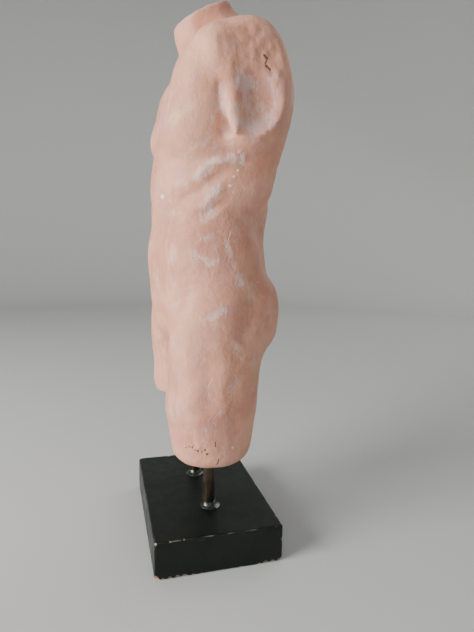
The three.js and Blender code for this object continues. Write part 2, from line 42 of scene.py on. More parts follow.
# ---------------------------------------------------------------- the torso's shape, in millimetres
# E = ellipsoid (centre, radii, rotation), C = round cone, P = plane, H = quadrant; sides: C as is, B both, L left, R right
POSE = {"sx": ((60, 0), (200, 0), (450, 0)), "sy": ((60, 0), (450, 0)), "tilt": ((60, 0), (150, 0), (200, 0.03), (260, 0), (300, 0), (390, 0), (450, 0)), "twist": ((60, 0), (200, 0), (380, 0), (450, 0))}
PRIMS = {"k_legs": 14, "k_glutes": 9,
    "base": [
        ("C", 0, ("E", (0, 5, 322), (54, 45, 66), (0, 0, 0))),
        ("C", 14, ("E", (0, 16, 368), (65, 34, 37), (0, 0, 0))),
        ("C", 30, ("E", (0, -2, 256), (48, 40, 54), (0, 0, 0))),
        ("C", 24, ("E", (0, 2, 212), (56, 41, 40), (0, 0, 0))),
    ],
    "legs": [
        ("C", 0, ("C", (30, 4, 190), (31, 3, 60), 33, 29)),
        ("L", 14, ("E", (34, -9, 126), (26, 23.5, 72), (0, 0, 0))),
        ("L", 14, ("E", (31, 14, 130), (25, 22, 66), (0, 0, 0))),
        ("L", 16, ("E", (43, 2, 165), (19, 30, 56), (0, 0, 0))),
        ("C", 2.5, ("C", (-30, 0, 190), (-31, 1, 90), 32.5, 28)),
        ("R", 14, ("E", (-33, -16, 172), (25, 22, 60), (0, 0, 0))),
        ("R", 14, ("E", (-31, 10, 140), (24, 21, 62), (0, 0, 0))),
        ("R", 8, ("E", (-33, -13.5, 134), (22, 22, 42), (0, 0, 0))),
        ("R", 16, ("E", (-43, -1, 168), (18, 29, 54), (0, 0, 0))),
    ],
    "glutes": [
        ("L", 0, ("E", (27, 21, 190), (30, 36, 39), (0, 0, 0))),
        ("R", 3, ("E", (-27, 19, 187), (29, 35, 38), (0, 0, 0))),
    ],
    "muscles": [
        ("B", 18, ("E", (29, -9, 352), (38, 23, 32), (14, 0, -22))),
        ("B", 12, ("E", (28, -18, 333), (29, 19, 19), (0, 0, -24))),
        ("B", 14, ("E", (50, 0, 374), (24, 20, 22), (0, -20, -10))),
        ("B", 12, ("E", (42, -10, 342), (22, 26, 38), (0, 6, 0))),
        ("C", 8, ("C", (0, 8, 380), (0, -8, 452), 23, 20)),
        ("B", 14, ("C", (8, 18, 408), (46, 17, 387), 14, 12)),
        ("B", 12, ("E", (56, 22, 368), (19, 29, 36), (0, 0, 0))),
        ("B", 16, ("E", (44, 26, 330), (18, 27, 52), (0, 10, 0))),
        ("B", 12, ("E", (32, 36, 358), (27, 20, 32), (0, 0, 12))),
        ("B", 12, ("C", (12, 31, 340), (12, 30, 225), 14, 13)),
        ("B", 16, ("E", (36, -2, 242), (18, 31, 24), (0, 0, 0))),
        ("C", 16, ("E", (0, -19, 238), (31, 24, 42), (0, 0, 0))),
        ("B", 10, ("E", (13, -23, 288), (18, 18, 36), (0, 0, 0))),
        ("C", 14, ("C", (0, -20, 186), (0, -22, 196), 18, 15)),
    ],
}
ARMS = [
    ("add", 7, ("E", (57, 21, 345), (19, 25, 33), (0, 0, 0))),
    ("add", 7, ("E", (-57, 20, 346), (19, 24, 32), (0, 0, 0))),
    ("sub", 1.5, ("P", (1, 0, 0), (70.5, 0, 0))),
    ("sub", 1.5, ("P", (-1, 0, 0), (-70.5, 0, 0))),
    ("sub", 1.3, ("E", (80.5, 21, 344), (15, 21, 29), (0, 0, 0))),
    ("sub", 1.3, ("E", (-80.5, 20, 345), (15, 20, 28), (0, 0, 0))),
    ("sub", 5, ("C", (71, -4, 352), (64.5, 2, 326), 4.5, 4)),
    ("sub", 5, ("C", (-71, -5, 352), (-64.5, 1, 328), 4.5, 4)),
    ("add", 4.5, ("C", (55.5, -2.5, 378), (71.2, 7, 322.5), 15.5, 1.6)),
    ("add", 4.5, ("C", (-55.5, -3.5, 377), (-71, 6, 324.5), 15.5, 1.7)),
    ("sub", 1.2, ("H", (-1, 0, 0), (-1.5, 0, 0), (0, 0, -1), (0, 0, 115))),
]
STROKES = [
    ("L", -1.6, 3.6, ((56, -22, 206), (50, -30, 196), (42, -36, 184), (30, -38, 168), (18, -38, 158))),
    ("C", -1.6, 4.5, ((0, -50, 374), (0, -48, 345), (0, -48, 322))),
    ("C", -1.4, 3.4, ((0, -50, 318), (0, -48, 290), (0, -48, 250))),
    ("B", -1, 3.2, ((5, -48, 316), (18, -46, 311), (32, -36, 309), (42, -24, 311), (49, -16, 317), (54, -8, 322))),
    ("B", -1.1, 4, ((27, -40, 308), (28, -40, 280), (28, -38, 255), (22, -42, 228))),
    ("B", -0.8, 3, ((2, -48, 302), (14, -46, 301), (24, -42, 304))),
    ("B", -0.8, 3, ((2, -48, 281), (14, -46, 280), (25, -42, 282))),
    ("B", -0.7, 3, ((2, -48, 260), (14, -46, 259), (24, -42, 260))),
    ("B", -1.7, 4.5, ((56, 8, 216), (52, -16, 214), (42, -34, 206), (30, -42, 192), (18, -44, 180))),
    ("C", -2.2, 4, ((0, 46, 385), (0, 44, 340), (0, 40, 290), (0, 42, 240), (0, 50, 222))),
    ("B", -1.3, 4.5, ((10, 40, 392), (20, 52, 376), (24, 56, 352), (30, 54, 334), (44, 46, 326))),
    ("B", -1.2, 4, ((22, 44, 318), (24, 42, 290), (20, 42, 260))),
    ("B", -2, 3.2, ((8, 46, 160), (24, 54, 157), (40, 46, 161))),
    ("B", 1.6, 3.2, ((6, -26, 392), (24, -22, 396), (44, -8, 402))),
    ("B", -0.9, 4, ((8, -32, 384), (26, -30, 386), (42, -20, 386))),
    ("L", 1.2, 3.4, ((36, -32, 287), (44, -18, 293), (50.5, -9, 302), (54, -2, 305), (57, 7, 307), (58, 15, 308))),
    ("L", -1.1, 3.2, ((38, -28, 279), (46, -16, 285), (51, -6, 293), (55, 6, 299))),
    ("L", 1, 3.4, ((40, -26, 267), (47, -13, 273), (49, -7, 280), (51, -1, 287))),
    ("L", -0.8, 3.2, ((44, -16, 265), (49, -7, 271), (52, 3, 278))),
    ("L", 0.6, 3.4, ((44, -16, 258), (50, -6, 266), (51, 2, 273))),
    ("L", -1.7, 9, ((58, 30, 206), (61, 25, 194), (63.5, 20, 182), (65, 15, 172))),
    ("R", -1.5, 9, ((-58, 30, 206), (-61, 25, 194), (-63.5, 20, 182))),
    ("L", -0.9, 6, ((66, -9, 162), (65, -10, 142), (64, -6, 121))),
    ("L", 0.8, 6, ((65, 2, 165), (66, 3, 145), (65, 4, 125))),
    ("L", -0.8, 5, ((62, 12, 118), (60, 16, 100))),
    ("R", 1.2, 3.6, ((-34, -34, 293), (-44, -22, 300), (-52, -2, 309), (-54, 12, 311))),
    ("R", -1.1, 3.2, ((-36, -32, 286), (-46, -18, 293), (-52, 2, 303))),
    ("R", 1, 3.6, ((-36, -30, 277), (-45, -16, 285), (-50, 2, 294))),
]
CUTS = (((0, 0, -1), (0, 0, 73), 1.2), ((0, -0.52, 0.854), (0, -27, 409), 1.2))
FIT = {"front": ((75, 1.15), (85, 0.33), (95, -0.29), (105, -0.93), (115, -2.11), (125, -2.24), (135, -0.68), (145, 0.07), (155, -0.56), (165, -0.96), (175, -0.87), (185, -1.11), (195, -1.47), (205, -0.92), (215, 0.37), (225, 1.08), (235, 1.03), (245, 1.26), (255, 1.93), (265, 2.15), (275, 1.75), (285, 1.2), (295, 0.69), (305, 0.32), (315, 0.39), (325, 0.68), (335, 1.24), (345, 2.61), (355, 3.73), (365, 3.47), (375, 2.13), (385, -0.23), (395, -2.76), (405, -3.86), (415, -3.45), (425, -2.48), (435, -1.67), (445, -1.22)),
       "back": ((75, -2.53), (85, -1.39), (95, -0.82), (105, -0.51), (115, -0.05), (125, -0.1), (135, -0.6), (145, -0.41), (155, 0.71), (165, 1.4), (175, 1.01), (185, 0.35), (195, 0.23), (205, 1.19), (215, 3.11), (225, 4.56), (235, 4.09), (245, 3.08), (255, 3.01), (265, 3.97), (275, 4.82), (285, 3.66), (295, 0.85), (305, -0.93), (315, -0.52), (325, 0.94), (335, 1.93), (345, 1.88), (355, 1.06), (365, 0.08), (375, -0.58), (385, -0.74), (395, -0.13), (405, 1.41), (415, 2.95), (425, 3.42), (435, 2.7), (445, 2.07))}
LO, HI = np.array([-96, -64, 68], f32), np.array([96, 80, 452], f32)


def smin(a, b, k):
    if k <= 0:
        return np.minimum(a, b)
    h = np.clip(0.5 + 0.5 * (b - a) / k, 0, 1)
    return b * (1 - h) + a * h - k * h * (1 - h)


def smax(a, b, k):
    return -smin(-a, -b, k)


def rotm(rx, ry, rz):
    rx, ry, rz = np.radians([rx, ry, rz])
    cx, sx, cy, sy, cz, sz = np.cos(rx), np.sin(rx), np.cos(ry), np.sin(ry), np.cos(rz), np.sin(rz)
    x = np.array([[1, 0, 0], [0, cx, -sx], [0, sx, cx]])
    y = np.array([[cy, 0, sy], [0, 1, 0], [-sy, 0, cy]])
    z = np.array([[cz, -sz, 0], [sz, cz, 0], [0, 0, 1]])
    return z @ y @ x


def prim(P, p):
    t = p[0]
    if t == "E":
        q = P - np.array(p[1], f32)
        if any(p[3]):
            q = q @ rotm(*p[3]).astype(f32)
        r = np.array(p[2], f32)
        k0 = np.sqrt(((q / r) ** 2).sum(1))
        k1 = np.sqrt(((q / (r * r)) ** 2).sum(1)) + 1e-9
        return k0 * (k0 - 1) / k1
    if t == "C":
        a, b = np.array(p[1], f32), np.array(p[2], f32)
        ba = b - a
        pa = P - a
        u = np.clip(pa @ ba / float(ba @ ba), 0, 1)
        d = pa - u[:, None] * ba
        return np.sqrt((d * d).sum(1)) - (p[3] + u * (p[4] - p[3]))
    if t == "P":
        n = np.array(p[1], f32)
        n = n / np.linalg.norm(n)
        return -(P @ n - float(np.dot(n, p[2])))
    a = -(P @ np.array(p[1], f32) - float(np.dot(p[1], p[2])))
    b = -(P @ np.array(p[3], f32) - float(np.dot(p[3], p[4])))
    return np.maximum(a, b)


def interp(z, tab):
    return np.interp(z, [t[0] for t in tab], [t[1] for t in tab]).astype(f32)


def unpose(P):
    Q = P.copy()
    z = P[:, 2]
    x0 = P[:, 0] - interp(z, POSE["sx"])
    y0 = P[:, 1] - interp(z, POSE["sy"])
    Q[:, 2] = P[:, 2] - interp(z, POSE["tilt"]) * P[:, 0]
    a = interp(z, POSE["twist"]) * f32(np.pi / 180)
    c, s = np.cos(a), np.sin(a)
    Q[:, 0] = x0 * c + y0 * s
    Q[:, 1] = -x0 * s + y0 * c
    return Q


def mir(P):
    Q = P.copy()
    Q[:, 0] = np.abs(Q[:, 0])
    return Q


def group(P, Pm, G, d=None):
    for side, k, p in G:
        e = prim(Pm if side == "B" else P, p)
        d = e if d is None else smax(d, -e, -k) if k < 0 else smin(d, e, k)
    return d


def vnoise(P, size, seed):
    """Smooth value noise from -1 to 1 with cells of that size."""
    q = P / f32(size)
    i = np.floor(q).astype(np.int64)
    f = (q - i).astype(f32)
    u = f * f * (3 - 2 * f)
    out = np.zeros(len(P), f32)
    for dx in (0, 1):
        for dy in (0, 1):
            for dz in (0, 1):
                h = (i[:, 0] + dx) * 73856093 ^ (i[:, 1] + dy) * 19349663 ^ (i[:, 2] + dz) * 83492791 ^ seed * 2654435761
                h = (h ^ (h >> 13)) * 1274126177
                h = ((h ^ (h >> 16)) & 0xFFFF).astype(f32) / f32(32767.5) - 1
                w = (u[:, 0] if dx else 1 - u[:, 0]) * (u[:, 1] if dy else 1 - u[:, 1]) * (u[:, 2] if dz else 1 - u[:, 2])
                out += h * w
    return out


def body(P):
    P = np.ascontiguousarray(P, f32)
    Q = unpose(P)
    Qm = mir(Q)
    d = group(Q, Qm, PRIMS["base"])
    d = smin(d, group(Q, Qm, PRIMS["legs"]), PRIMS["k_legs"])
    d = smin(d, group(Q, Qm, PRIMS["glutes"]), PRIMS["k_glutes"])
    d = group(Q, Qm, PRIMS["muscles"], d)
    for op, k, p in ARMS:
        e = prim(P, p)
        if p[0] in "PH":
            e = e + 0.35 * vnoise(P, 7.0, 5) + (0.7 * vnoise(P, 4.0, 6) if p[0] == "P" else 0)   # broken and sawn faces
        d = smin(d, e, k) if op == "add" else smax(d, -e, k)
    return d


SOCKET_R, SOCKET_TOP, ROD_X = 7.45, 175.2, 30.5


def sdf(P):
    P = np.ascontiguousarray(P, f32)
    d = body(P)
    for n, o, k in CUTS:
        n = np.array(n, f32)
        n = n / np.linalg.norm(n)
        e = P @ n - float(np.dot(n, o)) + 0.35 * vnoise(P, 8.0, 11) + (0.5 * vnoise(P, 5.0, 12) if n[2] > 0 else 0)
        d = smax(d, e, k if n[2] > 0 else 10.0)
    for x in (-ROD_X, ROD_X):
        r = np.hypot(P[:, 0] - x, P[:, 1])
        d = np.maximum(d, -np.maximum(r - SOCKET_R, P[:, 2] - SOCKET_TOP))
    return d


def grad(P, f, e=0.4):
    g = np.empty_like(P)
    for i in range(3):
        D = np.zeros(3, f32)
        D[i] = e
        g[:, i] = (f(P + D) - f(P - D)) / (2 * e)
    return g


def field(h, band=2.2, coarse=4):
    n = np.ceil((HI - LO) / (h * coarse)).astype(int)
    H = h * coarse
    ax = [LO[i] + H * np.arange(n[i] + 1) for i in range(3)]
    G = np.stack(np.meshgrid(*ax, indexing="ij"), -1).reshape(-1, 3).astype(f32)
    C = sdf(G).reshape(n + 1)
    near = np.abs(C) < H * band
    N = n * coarse + 1
    rep = lambda A: np.repeat(np.repeat(np.repeat(A, coarse, 0), coarse, 1), coarse, 2)[
        coarse // 2:coarse // 2 + N[0], coarse // 2:coarse // 2 + N[1], coarse // 2:coarse // 2 + N[2]]
    F = rep(C).copy()
    ii = np.argwhere(rep(near))
    P = (LO + h * ii).astype(f32)
    out = np.empty(len(P), f32)
    for s in range(0, len(P), 400000):
        out[s:s + 400000] = sdf(P[s:s + 400000])
    F[tuple(ii.T)] = out
    return F


def nets(F, o, h):
    """Quads over the zero surface of the grid F."""
    S = F < 0
    c = np.zeros(tuple(s - 1 for s in F.shape), np.int8)
    for i in (0, 1):
        for j in (0, 1):
            for k in (0, 1):
                c += S[i:S.shape[0] - 1 + i, j:S.shape[1] - 1 + j, k:S.shape[2] - 1 + k]
    act = (c > 0) & (c < 8)
    idx = np.full(act.shape, -1, np.int64)
    ijk = np.argwhere(act)
    idx[act] = np.arange(len(ijk))
    acc, cnt = np.zeros((len(ijk), 3)), np.zeros(len(ijk))
    for ax in range(3):
        for u in (0, 1):
            for v in (0, 1):
                a = np.zeros(3, int)
                a[(ax + 1) % 3] = u
                a[(ax + 2) % 3] = v
                b = a.copy()
                b[ax] = 1
                fa, fb = F[tuple((ijk + a).T)], F[tuple((ijk + b).T)]
                m = (fa < 0) != (fb < 0)
                t = np.where(m, fa / np.where(m, fa - fb, 1), 0)
                p = a + t[:, None] * (b - a)
                acc[m] += p[m]
                cnt[m] += 1
    V = np.array(o) + h * (ijk + acc / cnt[:, None])
    quads = []
    for ax in range(3):
        s0, s1 = [slice(None)] * 3, [slice(None)] * 3
        s0[ax], s1[ax] = slice(0, -1), slice(1, None)
        a, b = S[tuple(s0)], S[tuple(s1)]
        e = np.argwhere(a != b)
        inside = a[tuple(e.T)]
        p, q = (ax + 1) % 3, (ax + 2) % 3
        ok = (e[:, p] > 0) & (e[:, q] > 0) & (e[:, p] < F.shape[p] - 1) & (e[:, q] < F.shape[q] - 1)
        e, inside = e[ok], inside[ok]

        def cell(dp, dq):
            r = e.copy()
            r[:, p] += dp
            r[:, q] += dq
            return idx[tuple(r.T)]
        Q = np.stack([cell(-1, -1), cell(0, -1), cell(0, 0), cell(-1, 0)], 1)
        Q[~inside] = Q[~inside][:, ::-1]
        quads.append(Q)
    return V.astype(f32), np.concatenate(quads)


class Around:
    """Averages over each vertex's neighbours."""
    def __init__(self, n, Q):
        E = np.concatenate([Q[:, [0, 1]], Q[:, [1, 2]], Q[:, [2, 3]], Q[:, [3, 0]]])
        self.E = np.unique(np.sort(E, 1), axis=0)
        self.n = n
        self.c = np.bincount(self.E.ravel(), minlength=n).astype(float)

    def mean(self, A):
        A = A.reshape(self.n, -1)
        s = np.zeros(A.shape)
        for a, b in ((0, 1), (1, 0)):
            for k in range(A.shape[1]):
                s[:, k] += np.bincount(self.E[:, a], A[self.E[:, b], k], self.n)
        return s / self.c[:, None]

    def smooth(self, A, it, lam=0.5):
        shape = A.shape
        A = A.reshape(self.n, -1).astype(float)
        for _ in range(it):
            A = A + lam * (self.mean(A) - A)
        return A.reshape(shape)


def spline(pts, n=4):
    pts = np.array(pts, float)
    if len(pts) < 3:
        return pts
    P = np.vstack([2 * pts[0] - pts[1], pts, 2 * pts[-1] - pts[-2]])
    out = []
    for i in range(1, len(P) - 2):
        for t in np.arange(n) / n:
            out.append(0.5 * (2 * P[i] + (P[i + 1] - P[i - 1]) * t + (2 * P[i - 1] - 5 * P[i] + 4 * P[i + 1] - P[i + 2]) * t * t
                              + (-P[i - 1] + 3 * P[i] - 3 * P[i + 1] + P[i + 2]) * t ** 3))
    out.append(P[-2])
    return np.array(out)


def near_line(P, pts):
    """Distance of each point to a polyline, and how far along it (0 to 1)."""
    pts = np.array(pts, f32)
    if len(pts) == 1:
        return np.sqrt(((P - pts[0]) ** 2).sum(1)), np.zeros(len(P), f32)
    best, along = np.full(len(P), 1e9, f32), np.zeros(len(P), f32)
    for i, (a, b) in enumerate(zip(pts[:-1], pts[1:])):
        ba = b - a
        pa = P - a
        t = np.clip(pa @ ba / (float(ba @ ba) + 1e-9), 0, 1)
        d = ((pa - t[:, None] * ba) ** 2).sum(1)
        m = d < best
        best[m] = d[m]
        along[m] = (i + t[m]) / (len(pts) - 1)
    return np.sqrt(best), along


ROUGH = [(7, 0.9, [(70, 16, 321), (69, 24, 321), (68, 31, 325), (69, 36, 334)]), (6, 0.5, [(60, 16, 312), (61, 22, 306)]), (9, 0.45, [(57, -18, 93), (60, -8, 91)]),
         (6, 0.45, [(48, -24, 311), (52, -20, 313)]), (7, 0.6, [(-70, 16, 322), (-69, 28, 323)]), (9, 0.4, [(63, 2, 120), (65, 8, 142)]), (7, 0.5, [(60, 26, 163), (64, 18, 162)])]


def relief(V):
    Q = unpose(np.ascontiguousarray(V, f32))
    Qm = mir(Q)
    d = np.zeros(len(V), f32)
    for r, amp, pts in ROUGH:
        m = ((V > np.min(pts, 0) - r) & (V < np.max(pts, 0) + r)).all(1)
        if m.any():
            dist, _ = near_line(V[m], pts)
            d[m] += amp * np.clip(1 - dist / r, 0, 1) * (vnoise(V[m], 3.6, 81) + 0.6 * vnoise(V[m], 2.2, 82))
    for side, amp, w, pts in STROKES:
        S = spline(pts)
        q = Qm if side == "B" else Q
        m = ((q > S.min(0) - 3 * w) & (q < S.max(0) + 3 * w)).all(1)
        if m.any():
            dist, along = near_line(q[m], S)
            fade = np.clip(np.minimum(along, 1 - along) * 6 + 0.45, 0, 1)
            d[m] += 1.15 * amp * fade * np.exp(-(dist / w) ** 2)
    return d


def build_torso(h):
    V, Q = nets(field(h), LO, h)
    ring = Around(len(V), Q)

    def snap(V):
        d, g = sdf(V), grad(V, sdf)
        return V - (np.clip(d, -h, h) / np.maximum((g * g).sum(1), 0.2))[:, None] * g
    V = snap(snap(V))
    V = snap(ring.smooth(V, 2).astype(f32)).astype(f32)
    g, gs = grad(V, body), grad(V, sdf)
    g /= np.linalg.norm(g, axis=1)[:, None] + 1e-9
    gs /= np.linalg.norm(gs, axis=1)[:, None] + 1e-9
    skin = np.clip(((g * gs).sum(1) - 0.6) / 0.3, 0, 1)          # 0 on the cut faces and in the sockets
    wob = 0.34 * vnoise(V, 17, 31) + 0.18 * vnoise(V, 7.5, 32) + 0.07 * vnoise(V, 3.4, 33)      # hand-worked unevenness
    V = V + gs * ((relief(V) + wob) * skin)[:, None]
    t = np.clip((V[:, 1] + 22) / 50, 0, 1)
    w = t * t * (3 - 2 * t)
    socket = np.hypot(np.abs(V[:, 0]) - ROD_X, V[:, 1]) < SOCKET_R + 2.5
    keep = np.where(socket & (V[:, 2] < SOCKET_TOP + 3), 0, 1)
    V[:, 1] += (interp(V[:, 2], FIT["front"]) * (1 - w) + interp(V[:, 2], FIT["back"]) * w) * keep
    return V.astype(f32), Q, ring, skin.astype(f32), gs


# ---------------------------------------------------------------- helpers
def mesh_object(name, verts, faces, body_name, smooth=True):
    """verts in metres, faces as an (n, 4) or (n, 3) array or a list."""
    me = bpy.data.meshes.new(name)
    if isinstance(faces, np.ndarray):
        n, k = faces.shape
        me.vertices.add(len(verts))
        me.vertices.foreach_set("co", np.ascontiguousarray(verts, "f4").ravel())
        me.loops.add(n * k)
        me.loops.foreach_set("vertex_index", faces.astype("i4").ravel())
        me.polygons.add(n)
        me.polygons.foreach_set("loop_start", np.arange(0, n * k, k, dtype="i4"))
        me.update(calc_edges=True)
    else:
        me.from_pydata([tuple(map(float, v)) for v in verts], [], [tuple(map(int, f)) for f in faces])
        me.update()
    me.polygons.foreach_set("use_smooth", np.full(len(me.polygons), smooth, bool))
    ob = bpy.data.objects.new(name, me)
    bpy.context.scene.collection.objects.link(ob)
    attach(ob, body_name)
    return ob


def attribute(ob, name, values):
    a = ob.data.attributes.new(name, "FLOAT", "POINT")
    a.data.foreach_set("value", np.ascontiguousarray(values, "f4"))


def coords(ob):
    co = np.zeros(len(ob.data.vertices) * 3, "f4")
    ob.data.vertices.foreach_get("co", co)
    return co.reshape(-1, 3)


class Tree:
    """Short ways to make nodes."""
    def __init__(self, name):
        self.mat = bpy.data.materials.new(name)
        self.mat.use_nodes = True
        self.t = self.mat.node_tree
        self.t.nodes.clear()
        self.out = self.t.nodes.new("ShaderNodeOutputMaterial")
        self.bsdf = self.t.nodes.new("ShaderNodeBsdfPrincipled")
        self.t.links.new(self.bsdf.outputs[0], self.out.inputs[0])
        self.obj = self.new("ShaderNodeTexCoord").outputs["Object"]

    def new(self, kind, **props):
        n = self.t.nodes.new(kind)
        for k, v in props.items():
            setattr(n, k, v)
        return n

    def put(self, socket, v):
        if isinstance(v, bpy.types.NodeSocket):
            self.t.links.new(v, socket)
        elif v is not None:
            socket.default_value = v

    def math(self, op, a, b=None, c=None, clamp=False):
        n = self.new("ShaderNodeMath", operation=op, use_clamp=clamp)
        for i, v in enumerate((a, b, c)):
            self.put(n.inputs[i], v)
        return n.outputs[0]

    def vec(self, op, a, b=None, scale=None):
        n = self.new("ShaderNodeVectorMath", operation=op)
        self.put(n.inputs[0], a)
        self.put(n.inputs[1], b)
        if scale is not None:
            self.put(n.inputs["Scale"], scale)
        return n.outputs["Value" if op in ("LENGTH", "DOT_PRODUCT", "DISTANCE") else "Vector"]

    def map(self, scale=(1, 1, 1), rot=(0, 0, 0), loc=(0, 0, 0), vector=None):
        n = self.new("ShaderNodeMapping")
        self.put(n.inputs["Vector"], vector or self.obj)
        n.inputs["Scale"].default_value = scale
        n.inputs["Rotation"].default_value = rot
        n.inputs["Location"].default_value = loc
        return n.outputs[0]

    def noise(self, scale, detail=3.0, rough=0.5, vector=None, dist=0.0):
        n = self.new("ShaderNodeTexNoise")
        self.put(n.inputs["Vector"], vector or self.obj)
        n.inputs["Scale"].default_value = scale
        n.inputs["Detail"].default_value = detail
        n.inputs["Roughness"].default_value = rough
        n.inputs["Distortion"].default_value = dist
        return n.outputs["Fac"]

    def voronoi(self, scale, feature="F1", vector=None, rnd=1.0, out="Distance"):
        n = self.new("ShaderNodeTexVoronoi", feature=feature)
        self.put(n.inputs["Vector"], vector or self.obj)
        n.inputs["Scale"].default_value = scale
        n.inputs["Randomness"].default_value = rnd
        return n.outputs[out]

    def ramp(self, v, lo, hi, a=0.0, b=1.0):
        n = self.new("ShaderNodeMapRange", interpolation_type="SMOOTHSTEP")
        self.put(n.inputs[0], v)
        for i, x in enumerate((lo, hi, a, b)):
            n.inputs[1 + i].default_value = x
        return n.outputs[0]

    def mix(self, fac, a, b, mode="MIX"):
        n = self.new("ShaderNodeMix", data_type="RGBA", blend_type=mode)
        self.put(n.inputs[0], fac)
        self.put(n.inputs[6], a)
        self.put(n.inputs[7], b)
        return n.outputs[2]

    def attr(self, name):
        return self.new("ShaderNodeAttribute", attribute_name=name).outputs["Fac"]

    def bump(self, height, strength, distance, normal=None):
        n = self.new("ShaderNodeBump")
        n.inputs["Strength"].default_value = strength
        n.inputs["Distance"].default_value = distance
        self.put(n.inputs["Height"], height)
        self.put(n.inputs["Normal"], normal)
        return n.outputs[0]

    def segment(self, a, b, w):
        """1 on the line from a to b (millimetres), 0 beyond w from it."""
        a, b = on_surface(a), on_surface(b)
        a, b = Vector(a) / 1000, Vector(b) / 1000
        d = b - a
        if not hasattr(self, "bent"):
            n = self.new("ShaderNodeTexNoise")
            n.inputs["Scale"].default_value = 420
            self.put(n.inputs["Vector"], self.obj)
            off = self.vec("SUBTRACT", n.outputs["Color"], (0.5, 0.5, 0.5))
            k = self.new("ShaderNodeVectorMath", operation="SCALE")
            self.put(k.inputs[0], off)
            k.inputs["Scale"].default_value = 0.0016
            self.bent = self.vec("ADD", self.obj, k.outputs[0])
        rel = self.vec("SUBTRACT", self.bent, tuple(a))
        t = self.math("DIVIDE", self.vec("DOT_PRODUCT", rel, tuple(d)), d.length_squared, clamp=True)
        foot = self.new("ShaderNodeVectorMath", operation="SCALE")
        foot.inputs[0].default_value = tuple(d)
        self.put(foot.inputs["Scale"], t)
        dist = self.vec("LENGTH", self.vec("SUBTRACT", rel, foot.outputs[0]))
        return self.ramp(dist, w / 1000, w * 0.35 / 1000)


def srgb(r, g, b):
    f = lambda c: (c / 255 / 12.92) if c / 255 <= 0.04045 else ((c / 255 + 0.055) / 1.055) ** 2.4
    return (f(r), f(g), f(b), 1.0)


# ---------------------------------------------------------------- torso
def wear_fields(P, skin, curve):
    """Where the paint is rubbed through to white plaster; P in millimetres."""
    W = P + np.stack([vnoise(P, 6.5, 60 + i) * 2.4 + vnoise(P, 2.8, 70 + i) * 1.3 for i in range(3)], 1)
    def blot(pts, r, soft=0.85):
        m = ((W > np.min(pts, 0) - r) & (W < np.max(pts, 0) + r)).all(1)
        out = np.zeros(len(W), f32)
        if m.any():
            d, _ = near_line(W[m], pts)
            out[m] = np.clip((r - d) / (r * soft), 0, 1)
        return out
    wear = np.zeros(len(P), f32)
    for amount, r, pts in WEAR:
        b = amount * blot(pts, r)
        wear = wear + b - wear * b
    # a few more on the sides that face away, where hands and edges rub
    wear = np.maximum(wear, 0.55 * np.clip((curve - 0.035) / 0.05, 0, 1) * skin)
    return wear


def make_torso():
    h = 1.42
    V, Q, ring, skin, N = build_torso(h)
    lap = (ring.smooth(V, 1, 1.0) - V)
    curve = -(lap * N).sum(1) * 2.0 / (h * h)                     # rough mean curvature, 1/mm
    curve = ring.smooth(np.clip(curve, -0.3, 0.3), 6)
    ob = mesh_object("torso_figure", V / 1000, Q, "torso")
    attribute(ob, "rubbed", wear_fields(V, skin, curve))
    attribute(ob, "hollow", np.clip(-curve / 0.05, 0, 1))
    attribute(ob, "ridge", np.clip(curve / 0.08, 0, 1))
    attribute(ob, "skin", skin)
    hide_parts("torso_cast")
    SURFACE.extend((V, N))
    return ob


SURFACE = []


def on_surface(p):
    """The point of the finished surface under a mark."""
    V, N = SURFACE
    p = np.array(p, f32)
    i = int(((V - p) ** 2).sum(1).argmin())
    return tuple(float(c) for c in p - N[i] * float((p - V[i]) @ N[i]))


